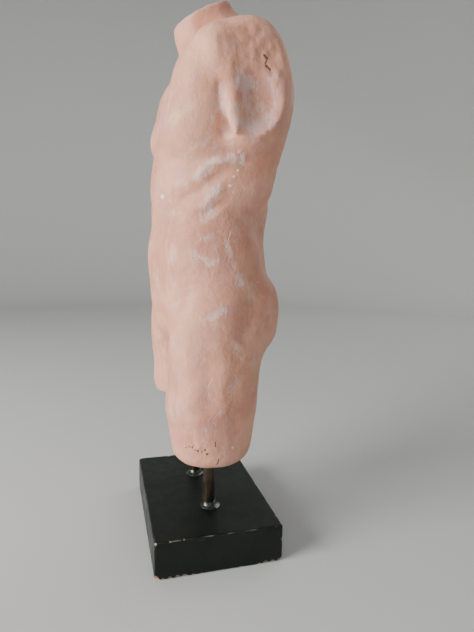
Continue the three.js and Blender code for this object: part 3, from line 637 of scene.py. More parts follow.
WEAR = [
    (1.0, 8, [(69, 9, 356), (67, 14, 352)]), (0.85, 6, [(67, 14, 357), (66, 22, 359)]), (0.95, 7, [(70, 11, 328), (69, 19, 326), (67, 27, 327), (68, 32, 331)]),
    (0.55, 3.5, [(70, 29, 360), (70, 34, 352), (70, 36, 343), (69, 34, 333), (69, 27, 325)]), (0.55, 19, [(67, 17, 350), (66, 24, 338)]),
    (0.9, 4.2, [(67, -5, 352), (65, -3, 341), (62, 0, 330), (62, 3, 323)]), (0.5, 3, [(70, 3, 341), (70, 8, 325)]),
    (0.8, 4.2, [(44, -27, 307), (50, -22, 312), (57, -15, 317), (61, -8, 321)]), (0.5, 2.5, [(60, 2, 322), (63, 12, 319), (64, 22, 319)]),
    (1.0, 4.8, [(43, -22, 289), (47, -17, 294), (52, -9, 301), (55, -3, 305), (58, 7, 307), (59, 15, 308)]),
    (0.8, 5.0, [(47, -13, 272), (50, -7, 280), (52, -1, 287)]), (0.45, 8, [(49, -5, 270)]),
    (0.6, 7, [(50, -9, 267), (50, -2, 274)]),
    (0.8, 2.6, [(34, -35, 199), (42, -32, 200), (49, -29, 203), (56, -20, 208)]),
    (0.85, 5, [(38, -36, 190), (44, -35, 181), (50, -33, 171)]),
    (0.85, 6, [(64, -12, 192), (65, -4, 196), (65, 2, 197)]),
    (0.65, 7, [(53, -19, 240), (56, -10, 234), (57, -3, 233)]), (0.4, 9, [(54, -12, 250)]),
    (0.8, 4.5, [(56, 7, 242), (57, 9, 236), (57, 13, 227), (58, 15, 217)]), (0.5, 2.6, [(50, 13, 275), (53, 13.5, 262), (54, 14, 250)]), (0.45, 2.6, [(57, 9, 302), (53, 11, 288), (50, 12, 276)]),
    (0.65, 7, [(64, 2, 122), (63, 6, 110)]), (0.65, 6, [(62, -10, 109), (60, -11, 96)]), (0.6, 5, [(63, -3, 107)]), (0.5, 5, [(65, 8, 141), (65, 12, 148)]), (0.4, 5, [(62, -12, 125)]),
    (0.6, 3, [(61, 14, 313), (57, 17, 303)]), (0.6, 2.4, [(55, 13, 295), (52, 8, 288)]), (0.5, 3, [(64, 18, 163), (60, 28, 162)]), (0.45, 3, [(55, 36, 183), (54, 37, 189)]),
    (0.55, 2.5, [(65, 12, 172), (66, 10, 158)]), (0.5, 2.4, [(70.5, 21, 385), (70, 26, 380)]), (0.4, 3, [(71, 1, 374), (68, -1, 380)]), (0.4, 4, [(62, -22, 196)]),
    (0.6, 8, [(-69, 12, 352)]), (0.6, 7, [(-68, 18, 330)]), (0.45, 3, [(-70, 32, 352), (-69, 30, 332)]), (0.5, 4, [(-65, -4, 345), (-62, 0, 330)]),
    (0.5, 5, [(-26, 52, 356), (-34, 50, 340)]), (0.45, 6, [(26, 54, 350), (30, 52, 336)]), (0.5, 4, [(-50, -9, 301), (-56, 4, 306)]),
    (0.5, 7, [(20, 50, 190)]), (0.5, 7, [(-30, 48, 196)]), (0.5, 6, [(-60, 0, 190)]), (0.45, 5, [(-30, -42, 318)]), (0.4, 5, [(12, -44, 288)]), (0.45, 4, [(-12, -44, 262)]),
    (0.45, 5, [(0, -44, 210), (14, -42, 204)]), (0.5, 6, [(-60, -12, 140)]), (0.45, 6, [(-52, 24, 128)]), (0.4, 6, [(30, -38, 140)]), (0.45, 6, [(28, 36, 110)]), (0.35, 7, [(0, 44, 300)]),
]
SCRATCHES = [   # ends, width (millimetres)
    ((53.5, 9.2, 256.8), (56.5, 4.8, 244.3), 0.75), ((64.4, 17.3, 157.7), (61.8, 24.2, 163.0), 0.55), ((65.1, 14.6, 164.1), (64.7, 16.3, 160.9), 0.5),
    ((60.8, 26.1, 163.5), (57.6, 30.4, 159.5), 0.5), ((65.5, 4.9, 136.5), (64.9, 12.7, 143.5), 0.6), ((65.7, 6.4, 141.0), (65.1, 11.8, 145.2), 0.5),
    ((65.5, 10.9, 149.9), (65.0, 12.7, 145.1), 0.5), ((65.2, -9.5, 141.1), (65.9, -6.7, 148.7), 0.55), ((63.8, -4.4, 117.2), (64.5, 0.0, 122.6), 0.5),
    ((63.6, -6.6, 117.3), (63.2, -2.6, 111.4), 0.45), ((57.0, 16.5, 303.0), (58.0, 14.0, 312.0), 0.5),
]
SPOTS_DARK = [((55.6, -21.0, 93.4), 0.9), ((56.9, -18.9, 93.0), 0.9), ((58.7, -14.6, 90.9), 1.25), ((60.4, -9.5, 91.9), 1.1), ((60.4, -8.0, 88.6), 1.35), ((58.0, -16.8, 91.2), 0.8), ((59.6, -11.8, 90.4), 0.8), ((53.8, -23.0, 92.2), 0.7), ((57.4, -17.6, 95.0), 0.7), ((59.0, -13.2, 93.4), 0.6)]
SPOTS_LIGHT = [((24.6, -37.2, 282.0), 2.3), ((60.2, 11.8, 91.4), 1.4), ((53.8, 10.8, 295.5), 1.2), ((52.4, 8.4, 289.0), 1.5), ((54.6, 13.4, 300.0), 1.1), ((55.6, 14.6, 305.5), 1.0), ((52.0, 11.0, 284.5), 0.9)]
CRACKS = [((70.0, 26.9, 374.2), (70.0, 28.8, 372.9), 1.15), ((70.0, 28.6, 371.2), (70.0, 28.0, 369.6), 0.9), ((70.0, 28.6, 367.9), (70.0, 31.2, 365.8), 1.15), ((60.8, 0.6, 83.1), (60.6, -0.1, 78.5), 0.8), ((61.9, -2.2, 98.2), (61.6, -2.0, 94.1), 0.6)]


def torso_material():
    T = Tree("painted_plaster")
    skin, rub, hollow, ridge = T.attr("skin"), T.attr("rubbed"), T.attr("hollow"), T.attr("ridge")
    big = T.noise(22, 3, 0.55)
    mid = T.noise(70, 4, 0.6, dist=0.3)
    fine = T.noise(420, 4, 0.65)
    streak = T.noise(1, 4, 0.6, vector=T.map(scale=(170, 170, 38)), dist=0.8)
    streak2 = T.noise(1, 3, 0.6, vector=T.map(scale=(380, 380, 95), rot=(0.12, 0.1, 0)), dist=0.9)
    gate = T.ramp(T.noise(24, 3, 0.5, vector=T.map(loc=(0.7, 0.1, 0.45))), 0.42, 0.62)     # streaks come and go
    pink = T.mix(T.ramp(big, 0.34, 0.66), srgb(230, 168, 143), srgb(210, 143, 121))
    pink = T.mix(T.math("MULTIPLY", T.ramp(mid, 0.45, 0.75), 0.45), pink, srgb(233, 182, 155))
    pink = T.mix(T.math("MULTIPLY", T.ramp(T.noise(48, 4, 0.55, vector=T.map(loc=(0.9, 0.5, 0.2)), dist=0.5), 0.5, 0.68), 0.5), pink, srgb(207, 151, 143))
    pink = T.mix(T.math("MULTIPLY", T.math("MULTIPLY", T.ramp(streak, 0.5, 0.72), gate), 0.5), pink, srgb(229, 196, 184))
    pink = T.mix(T.math("MULTIPLY", T.math("MULTIPLY", T.ramp(streak, 0.5, 0.3), gate), 0.35), pink, srgb(187, 130, 112))
    pink = T.mix(T.math("MULTIPLY", T.ramp(T.noise(36, 4, 0.6, vector=T.map(loc=(0.31, 0.2, 0.7))), 0.55, 0.75), 0.35), pink, srgb(204, 163, 128))   # yellowed patches
    # darker, browner colour in the concave hollows, set from the curvature
    pink = T.mix(T.math("MULTIPLY", hollow, 0.24), pink, srgb(171, 119, 101))
    # rubbed through to the plaster: the painted map, broken up by noise
    brk = T.math("ADD", T.math("MULTIPLY", mid, 0.55), T.math("MULTIPLY", streak2, 0.45))
    gated = T.ramp(rub, 0.02, 0.25)
    through = T.math("MULTIPLY", gated, T.ramp(T.math("SUBTRACT", T.math("ADD", rub, T.math("MULTIPLY", T.math("SUBTRACT", brk, 0.5), 3.0)), T.math("MULTIPLY", T.math("SUBTRACT", fine, 0.5), 1.2)), 0.15, 1.05))
    faint = T.ramp(T.math("ADD", T.math("MULTIPLY", streak2, 0.6), T.math("MULTIPLY", mid, 0.5)), 0.60, 0.76)
    white = T.mix(T.ramp(mid, 0.35, 0.7), srgb(224, 197, 199), srgb(234, 207, 201))
    col = T.mix(T.math("MULTIPLY", through, 0.66), pink, white)
    col = T.mix(T.math("MULTIPLY", faint, 0.32), col, srgb(224, 203, 199))
    # light scratches
    sc = None
    for a, b, w in SCRATCHES:
        s = T.segment(a, b, w)
        sc = s if sc is None else T.math("MAXIMUM", sc, s)
    hair = None
    for rot, sx in (((0.5, 0.3, 0.2), 1.0), ((-0.6, 0.2, 0.9), 1.3), ((0.1, -0.35, 0.5), 0.8)):
        n = T.noise(1, 2, 0.5, vector=T.map(scale=(900 * sx, 900 * sx, 34 * sx), rot=rot))
        g = T.noise(30 * sx, 2, 0.5, vector=T.map(loc=(sx, 2 * sx, 0.4)))
        m = T.math("MULTIPLY", T.ramp(n, 0.70, 0.76), T.ramp(g, 0.56, 0.66))
        hair = m if hair is None else T.math("MAXIMUM", hair, m)
    sc = T.math("MAXIMUM", T.math("MULTIPLY", sc, T.ramp(fine, 0.38, 0.56)), T.math("MULTIPLY", hair, 0.55))
    col = T.mix(T.math("MULTIPLY", sc, 0.8), col, srgb(236, 216, 205))
    for p, r in SPOTS_LIGHT:
        col = T.mix(T.math("MULTIPLY", T.ramp(T.vec("DISTANCE", T.obj, tuple(Vector(on_surface(p)) / 1000)), r * 1.0e-3, r * 0.5e-3), 0.9), col, srgb(246, 234, 212))
    for a, b, w, amount in (((58.5, -31, 334), (55, -34, 330), 5.5, 0.55), ((60, -26, 337), (62, -20, 340), 3.0, 0.35), ((-58, -31, 334), (-55, -34, 330), 5.0, 0.4)):
        tint = T.math("MULTIPLY", T.segment(a, b, w), T.ramp(T.noise(150, 3, 0.6), 0.38, 0.6))
        col = T.mix(T.math("MULTIPLY", tint, amount), col, srgb(240, 208, 150))
    # dark pits and marks
    dark = None
    for p, r in SPOTS_DARK:
        s = T.ramp(T.math("ADD", T.vec("DISTANCE", T.obj, tuple(Vector(on_surface(p)) / 1000)), T.math("MULTIPLY", T.math("SUBTRACT", fine, 0.5), 0.0012)), r * 1.0e-3, r * 0.45e-3)
        dark = s if dark is None else T.math("MAXIMUM", dark, s)
    for a, b, w in CRACKS:
        dark = T.math("MAXIMUM", dark, T.segment(a, b, w))
    specks = T.math("MULTIPLY", T.ramp(T.voronoi(260), 0.13, 0.07), T.ramp(T.noise(16, 2, 0.5, vector=T.map(loc=(3.1, 1.7, 0.2))), 0.60, 0.66))
    dark = T.math("MAXIMUM", dark, T.math("MULTIPLY", specks, 0.75))
    flecks = T.math("MULTIPLY", T.ramp(T.voronoi(330, vector=T.map(loc=(0.4, 0.9, 0.1))), 0.24, 0.12), T.ramp(T.noise(34, 3, 0.6, vector=T.map(loc=(1.1, 2.7, 0.8))), 0.50, 0.66))
    col = T.mix(T.math("MULTIPLY", flecks, 0.45), col, srgb(236, 214, 206))
    col = T.mix(T.math("MULTIPLY", dark, 0.85), col, srgb(92, 58, 44))
    # raw cut faces: creamy plaster with pink smeared over it
    raw = T.mix(T.ramp(mid, 0.4, 0.62), srgb(211, 186, 174), srgb(205, 160, 145))
    col = T.mix(T.ramp(skin, 0.6, 0.1), col, raw)
    T.put(T.bsdf.inputs["Base Color"], col)
    rough = T.math("ADD", T.ramp(mid, 0.3, 0.7, 0.50, 0.64), T.math("MULTIPLY", through, 0.16))
    T.put(T.bsdf.inputs["Roughness"], rough)
    T.bsdf.inputs["Specular IOR Level"].default_value = 0.42
    T.bsdf.inputs["Subsurface Weight"].default_value = 0.06
    T.bsdf.inputs["Subsurface Radius"].default_value = (0.004, 0.002, 0.0015)
    T.bsdf.inputs["Subsurface Scale"].default_value = 0.6
    hgt = T.math("ADD", T.math("MULTIPLY", T.noise(95, 4, 0.6), 1.7), T.math("MULTIPLY", fine, 0.22))
    hgt = T.math("ADD", hgt, T.math("MULTIPLY", streak, 0.35))
    hgt = T.math("SUBTRACT", hgt, T.math("MULTIPLY", through, 0.22))
    hgt = T.math("SUBTRACT", hgt, T.math("MULTIPLY", sc, 0.5))
    hgt = T.math("SUBTRACT", hgt, T.math("MULTIPLY", dark, 1.2))
    T.put(T.bsdf.inputs["Normal"], T.bump(hgt, 0.6, 0.0011))
    return T.mat


torso = make_torso()
torso.data.materials.append(torso_material())


# ---------------------------------------------------------------- block
def make_block():
    X, Y, Z, r = 75.0, 50.0, 30.0, 1.3
    step = 1.15
    def axis(h0, h1):
        n = max(2, int(round((h1 - h0 - 2 * r) / step)))
        core = np.linspace(h0 + r, h1 - r, n + 1)
        edge = r * np.array([0.0, 0.12, 0.38, 0.69])
        return np.concatenate([h0 + edge, core, (h1 - edge)[::-1]])
    ax = [axis(-X, X), axis(-Y, Y), axis(0, Z)]
    verts, quads, index = [], [], {}
    def vid(p):
        k = tuple(np.round(p, 4))
        if k not in index:
            index[k] = len(verts)
            verts.append(p)
        return index[k]
    for a in range(3):
        b, c = (a + 1) % 3, (a + 2) % 3
        for side in (0, 1):
            val = ax[a][0] if side == 0 else ax[a][-1]
            G = np.empty((len(ax[b]), len(ax[c])), int)
            for i, u in enumerate(ax[b]):
                for j, v in enumerate(ax[c]):
                    p = [0, 0, 0]
                    p[a], p[b], p[c] = val, u, v
                    G[i, j] = vid(tuple(p))
            for i in range(len(ax[b]) - 1):
                for j in range(len(ax[c]) - 1):
                    q = [G[i, j], G[i + 1, j], G[i + 1, j + 1], G[i, j + 1]]
                    quads.append(q if side else q[::-1])
    V = np.array(verts)
    lo, hi = np.array([-X, -Y, 0]) + r, np.array([X, Y, Z]) - r
    inner = np.clip(V, lo, hi)
    d = V - inner
    # points within the edge strips are pushed onto the rounded edge
    L = np.linalg.norm(d, axis=1)
    V = np.where(L[:, None] > 1e-6, inner + d / np.maximum(L, 1e-6)[:, None] * r, V)
    ob = mesh_object("stand_block", V / 1000, np.array(quads), "stand")
    return ob


def cut_holes(ob):
    for k, x in enumerate((-30.5, 30.5)):
        for rad, z0, z1 in ((4.45, -5, 36), (12.5, -5, 14)):
            bm = bmesh.new()
            bmesh.ops.create_cone(bm, cap_ends=True, segments=64, radius1=rad / 1000, radius2=rad / 1000, depth=(z1 - z0) / 1000,
                                  matrix=Matrix.Translation((x / 1000, 0, (z0 + z1) / 2000)))
            me = bpy.data.meshes.new("cutter")
            bm.to_mesh(me)
            bm.free()
            tool = bpy.data.objects.new("cutter", me)
            bpy.context.scene.collection.objects.link(tool)
            m = ob.modifiers.new("cut", "BOOLEAN")
            m.operation, m.solver, m.object = "DIFFERENCE", "EXACT", tool
            dg = bpy.context.evaluated_depsgraph_get()
            new = bpy.data.meshes.new_from_object(ob.evaluated_get(dg))
            ob.modifiers.clear()
            ob.data = new
            bpy.data.objects.remove(tool)
    return ob


CHIPS = [   # centre, radius and depth of the chips along the edges, millimetres
    ((75, -50, 0.5), 4.2, 1.6), ((75, -44, 0), 2.2, 0.5), ((75, -39, 0), 2.0, 0.5), ((75, -33, 0), 2.4, 0.6), ((75, -28, 0), 2.8, 0.6), ((75, -21, 0), 2.0, 0.4), ((75, -15, 0), 1.4, 0.3),
    ((75, 31, 0), 2.2, 0.6), ((75, 36, 0), 2.8, 0.8), ((75, 42, 0), 2.6, 0.6), ((75, 48, 0.5), 3.0, 0.9),
    ((75, -50, 30), 1.8, 0.7), ((75, -38, 30), 1.6, 0.5), ((75, -33, 30), 1.2, 0.3), ((75, -28, 30), 1.0, 0.3), ((75, 50, 18), 1.6, 0.5), ((75, 44, 30), 1.0, 0.3),
    ((-50, -50, 0.3), 2.6, 0.8), ((-47, -50, 0), 1.8, 0.5), ((-22, -50, 0.2), 2.3, 0.7), ((44, -50, 0), 2.6, 0.7), ((20, -50, 0), 2.0, 0.5), ((-75, -50, 0), 4.5, 1.4), ((-75, 50, 0), 4.0, 1.2), ((75, 50, 0), 3.2, 1.0),
    ((-75, 10, 0), 3.5, 0.9), ((-75, -20, 30), 2.2, 0.6), ((-40, 50, 0), 3.4, 0.9), ((22, 50, 0), 3.6, 0.9), ((60, 50, 30), 1.8, 0.5), ((-75, 50, 30), 2.6, 0.9), ((-75, -50, 30), 2.4, 0.8), 
    ((-55, 50, 30), 2.0, 0.5), ((5, 50, 30), 1.6, 0.4),
]


def wear_block(ob):
    P = coords(ob) * 1000
    half = np.array([75, 50, 15])
    q = np.abs(P - [0, 0, 15]) - half
    inside = -q                                     # distance in from each pair of faces
    edge = np.sort(inside, axis=1)[:, 1]            # distance to the nearest edge
    outer = (np.sort(inside, axis=1)[:, 0] < 1.2)
    n1, n2 = vnoise(P.astype(f32), 3.2, 41), vnoise(P.astype(f32), 9.0, 42)
    chip = np.zeros(len(P))
    push = np.zeros(len(P))
    for c, r, depth in CHIPS:
        d = np.linalg.norm(P - c, axis=1) + 0.9 * n1
        m = np.clip((r - d) / (0.45 * r), 0, 1)
        chip = np.maximum(chip, m)
        push = np.maximum(push, depth * m)
    # a thin worn line along the edges, heavier at the bottom
    worn = np.clip(1 - edge / 1.5, 0, 1) * np.clip(0.55 + 0.7 * n2 + 0.4 * n1, 0, 1) * outer
    small = np.clip((n1 - 0.35) * 2.2, 0, 1) * np.clip(1 - edge / 2.2, 0, 1) * np.where(P[:, 2] < 4, 1.0, 0.45) * outer
    push = push + 0.35 * small + 0.12 * worn
    away = np.clip(P, [-71, -46, 4], [71, 46, 26]) - P
    L = np.linalg.norm(away, axis=1)
    bore = np.hypot(np.abs(P[:, 0]) - 30.5, P[:, 1]) < 13.2
    move = np.where((L > 1e-6) & outer & ~bore, push / np.maximum(L, 1e-6), 0)[:, None] * away
    soft = 0.05 * vnoise(P.astype(f32), 14, 43)
    P2 = P + move
    P2[:, 2] = np.where((P[:, 2] > 29.5) & ~bore, P2[:, 2] + soft, P2[:, 2])
    P2 = np.clip(P2, [-75, -50, 0], [75, 50, 30.2])
    ob.data.vertices.foreach_set("co", (P2 / 1000).astype("f4").ravel())
    attribute(ob, "chip", np.clip(chip + small * 0.8, 0, 1))
    attribute(ob, "worn", np.clip(worn, 0, 1))
    attribute(ob, "underside", np.clip(1 - (P[:, 2] - 0.15) / 0.3, 0, 1) * (edge > 0.8) + (np.hypot(np.abs(P[:, 0]) - 30.5, P[:, 1]) < 12.7) * (P[:, 2] < 29.0))
    ob.data.update()


def block_material():
    T = Tree("black_paint_on_board")
    chip, worn, under = T.attr("chip"), T.attr("worn"), T.attr("underside")
    big, mid, fine = T.noise(26, 4, 0.6), T.noise(110, 4, 0.6), T.noise(700, 3, 0.6)
    paint = T.mix(T.ramp(big, 0.35, 0.7), srgb(7, 14, 11), srgb(13, 23, 18))
    paint = T.mix(T.math("MULTIPLY", T.ramp(mid, 0.5, 0.75), 0.35), paint, srgb(24, 34, 31))
    dust = T.math("MULTIPLY", T.ramp(T.voronoi(420), 0.16, 0.06), T.ramp(T.noise(45, 2, 0.5), 0.5, 0.62))
    scr = None
    for rot, s in (((0.0, 0.0, 0.5), 1.0), ((0.2, 0.1, -0.7), 1.4), ((0.9, 0.4, 1.2), 0.8)):
        n = T.noise(1, 2, 0.5, vector=T.map(scale=(1400 * s, 30 * s, 500 * s), rot=rot))
        m = T.math("MULTIPLY", T.ramp(n, 0.69, 0.75), T.ramp(T.noise(22 * s, 2, 0.5, vector=T.map(loc=(s, 0.3, 1.1))), 0.54, 0.66))
        scr = m if scr is None else T.math("MAXIMUM", scr, m)
    paint = T.mix(T.math("MULTIPLY", dust, 0.4), paint, srgb(84, 92, 86))
    paint = T.mix(T.math("MULTIPLY", scr, 0.35), paint, srgb(96, 102, 98))
    rub = T.ramp(T.math("ADD", worn, T.math("MULTIPLY", T.math("SUBTRACT", mid, 0.5), 1.3)), 0.45, 1.0)
    paint = T.mix(T.math("MULTIPLY", rub, 0.62), paint, srgb(122, 127, 122))
    board = T.mix(T.ramp(fine, 0.35, 0.68), srgb(122, 106, 84), srgb(172, 158, 134))
    board = T.mix(T.ramp(T.noise(40, 2, 0.5), 0.5, 0.62), board, srgb(168, 104, 82))
    board = T.mix(T.math("MULTIPLY", T.ramp(T.noise(1, 3, 0.6, vector=T.map(scale=(150, 150, 1200))), 0.5, 0.7), 0.5), board, srgb(118, 82, 62))
    bare = T.ramp(T.math("ADD", chip, T.math("MULTIPLY", T.math("SUBTRACT", T.noise(330, 3, 0.6), 0.5), 1.1)), 0.42, 0.62)
    col = T.mix(bare, paint, board)
    raw = T.mix(T.ramp(fine, 0.3, 0.7), srgb(120, 88, 64), srgb(150, 115, 86))
    col = T.mix(T.ramp(T.math("ADD", under, T.math("MULTIPLY", T.math("SUBTRACT", mid, 0.5), 0.3)), 0.5, 0.8), col, raw)
    T.put(T.bsdf.inputs["Base Color"], col)
    r = T.math("ADD", T.ramp(mid, 0.3, 0.75, 0.34, 0.48), T.math("MULTIPLY", T.math("MAXIMUM", bare, T.ramp(under, 0.4, 0.7)), 0.5))
    r = T.math("ADD", r, T.math("MULTIPLY", T.math("MAXIMUM", rub, dust), 0.2), clamp=True)
    T.put(T.bsdf.inputs["Roughness"], r)
    T.bsdf.inputs["Specular IOR Level"].default_value = 0.30
    hgt = T.math("ADD", T.math("MULTIPLY", big, 0.9), T.math("MULTIPLY", mid, 0.3))
    hgt = T.math("ADD", hgt, T.math("MULTIPLY", fine, 0.10))
    hgt = T.math("SUBTRACT", hgt, T.math("MULTIPLY", bare, T.math("ADD", 0.6, T.math("MULTIPLY", fine, 0.8))))
    hgt = T.math("SUBTRACT", hgt, T.math("MULTIPLY", scr, 0.15))
    T.put(T.bsdf.inputs["Normal"], T.bump(hgt, 0.45, 0.0008))
    return T.mat


block = cut_holes(make_block())
wear_block(block)
block.data.materials.append(block_material())
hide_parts("base_block")


# ---------------------------------------------------------------- rods, fasteners, glue, sleeves
def turned(name, profile, x, body_name, seg=96, wob=None, closed=False):
    """A body of revolution about the rod's axis; profile of (r, z) in millimetres."""
    pr = np.array(profile, float)
    n = len(pr)
    verts, faces = [], []
    for i, (r, z) in enumerate(pr):
        for s in range(seg):
            a = 2 * math.pi * s / seg
            k = wob(a, z, r) if wob else 0.0
            verts.append(((x + (r + k) * math.cos(a)) / 1000, (r + k) * math.sin(a) / 1000, z / 1000))
    last = n if closed else n - 1
    for i in range(last):
        j = (i + 1) % n
        for s in range(seg):
            t = (s + 1) % seg
            faces.append((i * seg + s, i * seg + t, j * seg + t, j * seg + s))
    if not closed:
        if pr[0][0] > 1e-6:
            faces.append(tuple(range(seg))[::-1])
        if pr[-1][0] > 1e-6:
            faces.append(tuple((n - 1) * seg + s for s in range(seg)))
    ob = mesh_object(name, verts, faces, body_name)
    bm = bmesh.new()
    bm.from_mesh(ob.data)
    bmesh.ops.remove_doubles(bm, verts=bm.verts, dist=1e-6)
    bmesh.ops.recalc_face_normals(bm, faces=bm.faces)
    bm.to_mesh(ob.data)
    bm.free()
    ob.data.polygons.foreach_set("use_smooth", np.ones(len(ob.data.polygons), bool))
    edges(ob, 32)
    return ob


def edges(ob, angle):
    """Edges sharper than the angle stay crisp."""
    me = ob.data
    bm = bmesh.new()
    bm.from_mesh(me)
    lim = math.radians(angle)
    for e in bm.edges:
        if len(e.link_faces) == 2 and e.calc_face_angle(0) > lim:
            e.smooth = False
    bm.to_mesh(me)
    bm.free()


def thread(x, z0, z1, major, pitch, name, body_name, seg=72):
    """A threaded stud: rings that climb by the pitch round the axis, closed at both ends."""
    depth = 0.55 * pitch
    rows = int((z1 - z0) / pitch * 8)
    verts, faces = [], []
    for i in range(rows + 1):
        z = z0 + (z1 - z0) * i / rows
        for s in range(seg):
            a = 2 * math.pi * s / seg
            ph = ((z - z0) / pitch - s / seg) % 1.0
            tri = abs(2 * ph - 1)
            run = min(1.0, (z - z0) / (1.2 * pitch), (z1 - z) / (0.8 * pitch) + 0.001)
            r = major / 2 - depth * (1 - min(1, tri * 1.25)) * run - (0.6 * max(0, 1 - (z - z0) / 0.8))
            verts.append(((x + r * math.cos(a)) / 1000, r * math.sin(a) / 1000, z / 1000))
    for i in range(rows):
        for s in range(seg):
            t = (s + 1) % seg
            faces.append((i * seg + s, i * seg + t, (i + 1) * seg + t, (i + 1) * seg + s))
    faces.append(tuple(range(seg))[::-1])
    faces.append(tuple(rows * seg + s for s in range(seg)))
    ob = mesh_object(name, verts, faces, body_name)
    edges(ob, 50)
    return ob


def rod_material():
    T = Tree("browned_steel")
    mid, fine = T.noise(90, 4, 0.6), T.noise(600, 3, 0.6)
    ringy = T.noise(1, 3, 0.55, vector=T.map(scale=(260, 260, 2600)))
    draw = T.noise(1, 2, 0.5, vector=T.map(scale=(2600, 2600, 60)))
    col = T.mix(T.ramp(mid, 0.35, 0.7), srgb(58, 50, 42), srgb(82, 71, 58))
    col = T.mix(T.math("MULTIPLY", T.ramp(draw, 0.45, 0.7), 0.4), col, srgb(120, 108, 94))
    rust = T.math("MULTIPLY", T.ramp(T.noise(55, 5, 0.7, vector=T.map(loc=(1.0, 2.0, 3.0))), 0.56, 0.70), 0.7)
    col = T.mix(rust, col, srgb(96, 58, 38))
    col = T.mix(T.math("MULTIPLY", T.ramp(fine, 0.62, 0.75), 0.5), col, srgb(38, 32, 28))
    T.put(T.bsdf.inputs["Base Color"], col)
    T.bsdf.inputs["Metallic"].default_value = 0.85
    T.put(T.bsdf.inputs["Roughness"], T.math("ADD", T.ramp(mid, 0.3, 0.7, 0.32, 0.46), T.math("MULTIPLY", rust, 0.3)))
    h = T.math("ADD", T.math("MULTIPLY", ringy, 0.3), T.math("ADD", T.math("MULTIPLY", draw, 0.3), T.math("MULTIPLY", fine, 0.35)))
    T.put(T.bsdf.inputs["Normal"], T.bump(h, 0.35, 0.0002))
    return T.mat


def zinc_material(name, tint, rough):
    T = Tree(name)
    grain, fine = T.voronoi(900, out="Color"), T.noise(1300, 3, 0.6)
    blot = T.noise(160, 4, 0.6)
    lum = T.new("ShaderNodeRGBToBW")
    T.put(lum.inputs[0], grain)
    col = T.mix(T.ramp(blot, 0.35, 0.7), tint, tuple(c * 0.72 for c in tint[:3]) + (1,))
    col = T.mix(T.math("MULTIPLY", T.ramp(T.noise(240, 4, 0.7), 0.60, 0.74), 0.6), col, srgb(104, 84, 66))
    T.put(T.bsdf.inputs["Base Color"], col)
    T.bsdf.inputs["Metallic"].default_value = 0.95
    T.put(T.bsdf.inputs["Roughness"], T.math("ADD", T.ramp(blot, 0.3, 0.7, rough, rough + 0.16), T.math("MULTIPLY", lum.outputs[0], 0.06)))
    T.put(T.bsdf.inputs["Normal"], T.bump(T.math("ADD", fine, T.math("MULTIPLY", blot, 0.7)), 0.3, 0.00018))
    return T.mat


def glue_material():
    T = Tree("set_glue")
    mid, fine = T.noise(240, 4, 0.6), T.noise(1100, 3, 0.6)
    col = T.mix(T.ramp(mid, 0.42, 0.66), srgb(14, 20, 18), srgb(40, 49, 45))
    col = T.mix(T.math("MULTIPLY", T.ramp(fine, 0.62, 0.76), 0.5), col, srgb(120, 128, 120))
    T.put(T.bsdf.inputs["Base Color"], col)
    T.put(T.bsdf.inputs["Roughness"], T.ramp(mid, 0.3, 0.7, 0.12, 0.34))
    T.bsdf.inputs["Coat Weight"].default_value = 0.5
    T.put(T.bsdf.inputs["Normal"], T.bump(T.math("ADD", mid, T.math("MULTIPLY", fine, 0.3)), 0.5, 0.0006))
    return T.mat


ROD = rod_material()
ZINC = zinc_material("zinc_plated_steel", srgb(172, 174, 176), 0.28)
TUBE = zinc_material("plain_steel", srgb(138, 134, 129), 0.36)
GLUE = glue_material()


def finish_piece(ob, material, node):
    ob.data.materials.clear()
    ob.data.materials.append(material)
    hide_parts(node)
    return ob


def hex_nut(name, x, z0, z1, turn):
    af, bore, seg = 13.0, 4.3, 96
    apo = af / 2
    rows = []
    prof = [(0.0, z0 + 0.0), (0.25, z0), (0.6, z0 + 0.45), (0.6, z1 - 0.45), (0.25, z1), (0.0, z1)]
    verts, faces = [], []
    def hexr(a):
        k = (a - turn) % (math.pi / 3) - math.pi / 6
        return apo / math.cos(k)
    levels = [("in", z0 + 0.5), ("inc", z0), ("top", z0), ("cor", z0 + 0.0), ("side", z0 + 1.0), ("side", z1 - 1.0), ("cor", z1), ("top", z1), ("inc", z1), ("in", z1 - 0.5)]
    for kind, z in levels:
        for s in range(seg):
            a = 2 * math.pi * s / seg
            h = hexr(a)
            if kind == "in":
                r, zz = bore, z
            elif kind == "inc":
                r, zz = bore + 0.5, z
            elif kind == "top":
                r, zz = apo - 0.9, z
            elif kind == "cor":
                # the chamfer: corners fall away from the face
                r = min(h, apo + 0.02)
                zz = z
                if z <= z0 + 1e-6:
                    zz = z0 + 0.35 * max(0, (r - apo + 0.9))
                else:
                    zz = z1 - 0.35 * max(0, (r - apo + 0.9))
            else:
                r = h
                fall = 0.55 * (h - apo)
                zz = z0 + 0.45 + fall if z < (z0 + z1) / 2 else z1 - 0.45 - fall
            verts.append(((x + r * math.cos(a)) / 1000, r * math.sin(a) / 1000, zz / 1000))
    n = len(levels)
    for i in range(n):
        j = (i + 1) % n
        for s in range(seg):
            t = (s + 1) % seg
            faces.append((i * seg + s, i * seg + t, j * seg + t, j * seg + s))
    ob = mesh_object(name, verts, faces, "stand")
    bm = bmesh.new()
    bm.from_mesh(ob.data)
    bmesh.ops.remove_doubles(bm, verts=bm.verts, dist=1e-6)
    bmesh.ops.recalc_face_normals(bm, faces=bm.faces)
    bm.to_mesh(ob.data)
    bm.free()
    edges(ob, 28)
    return ob


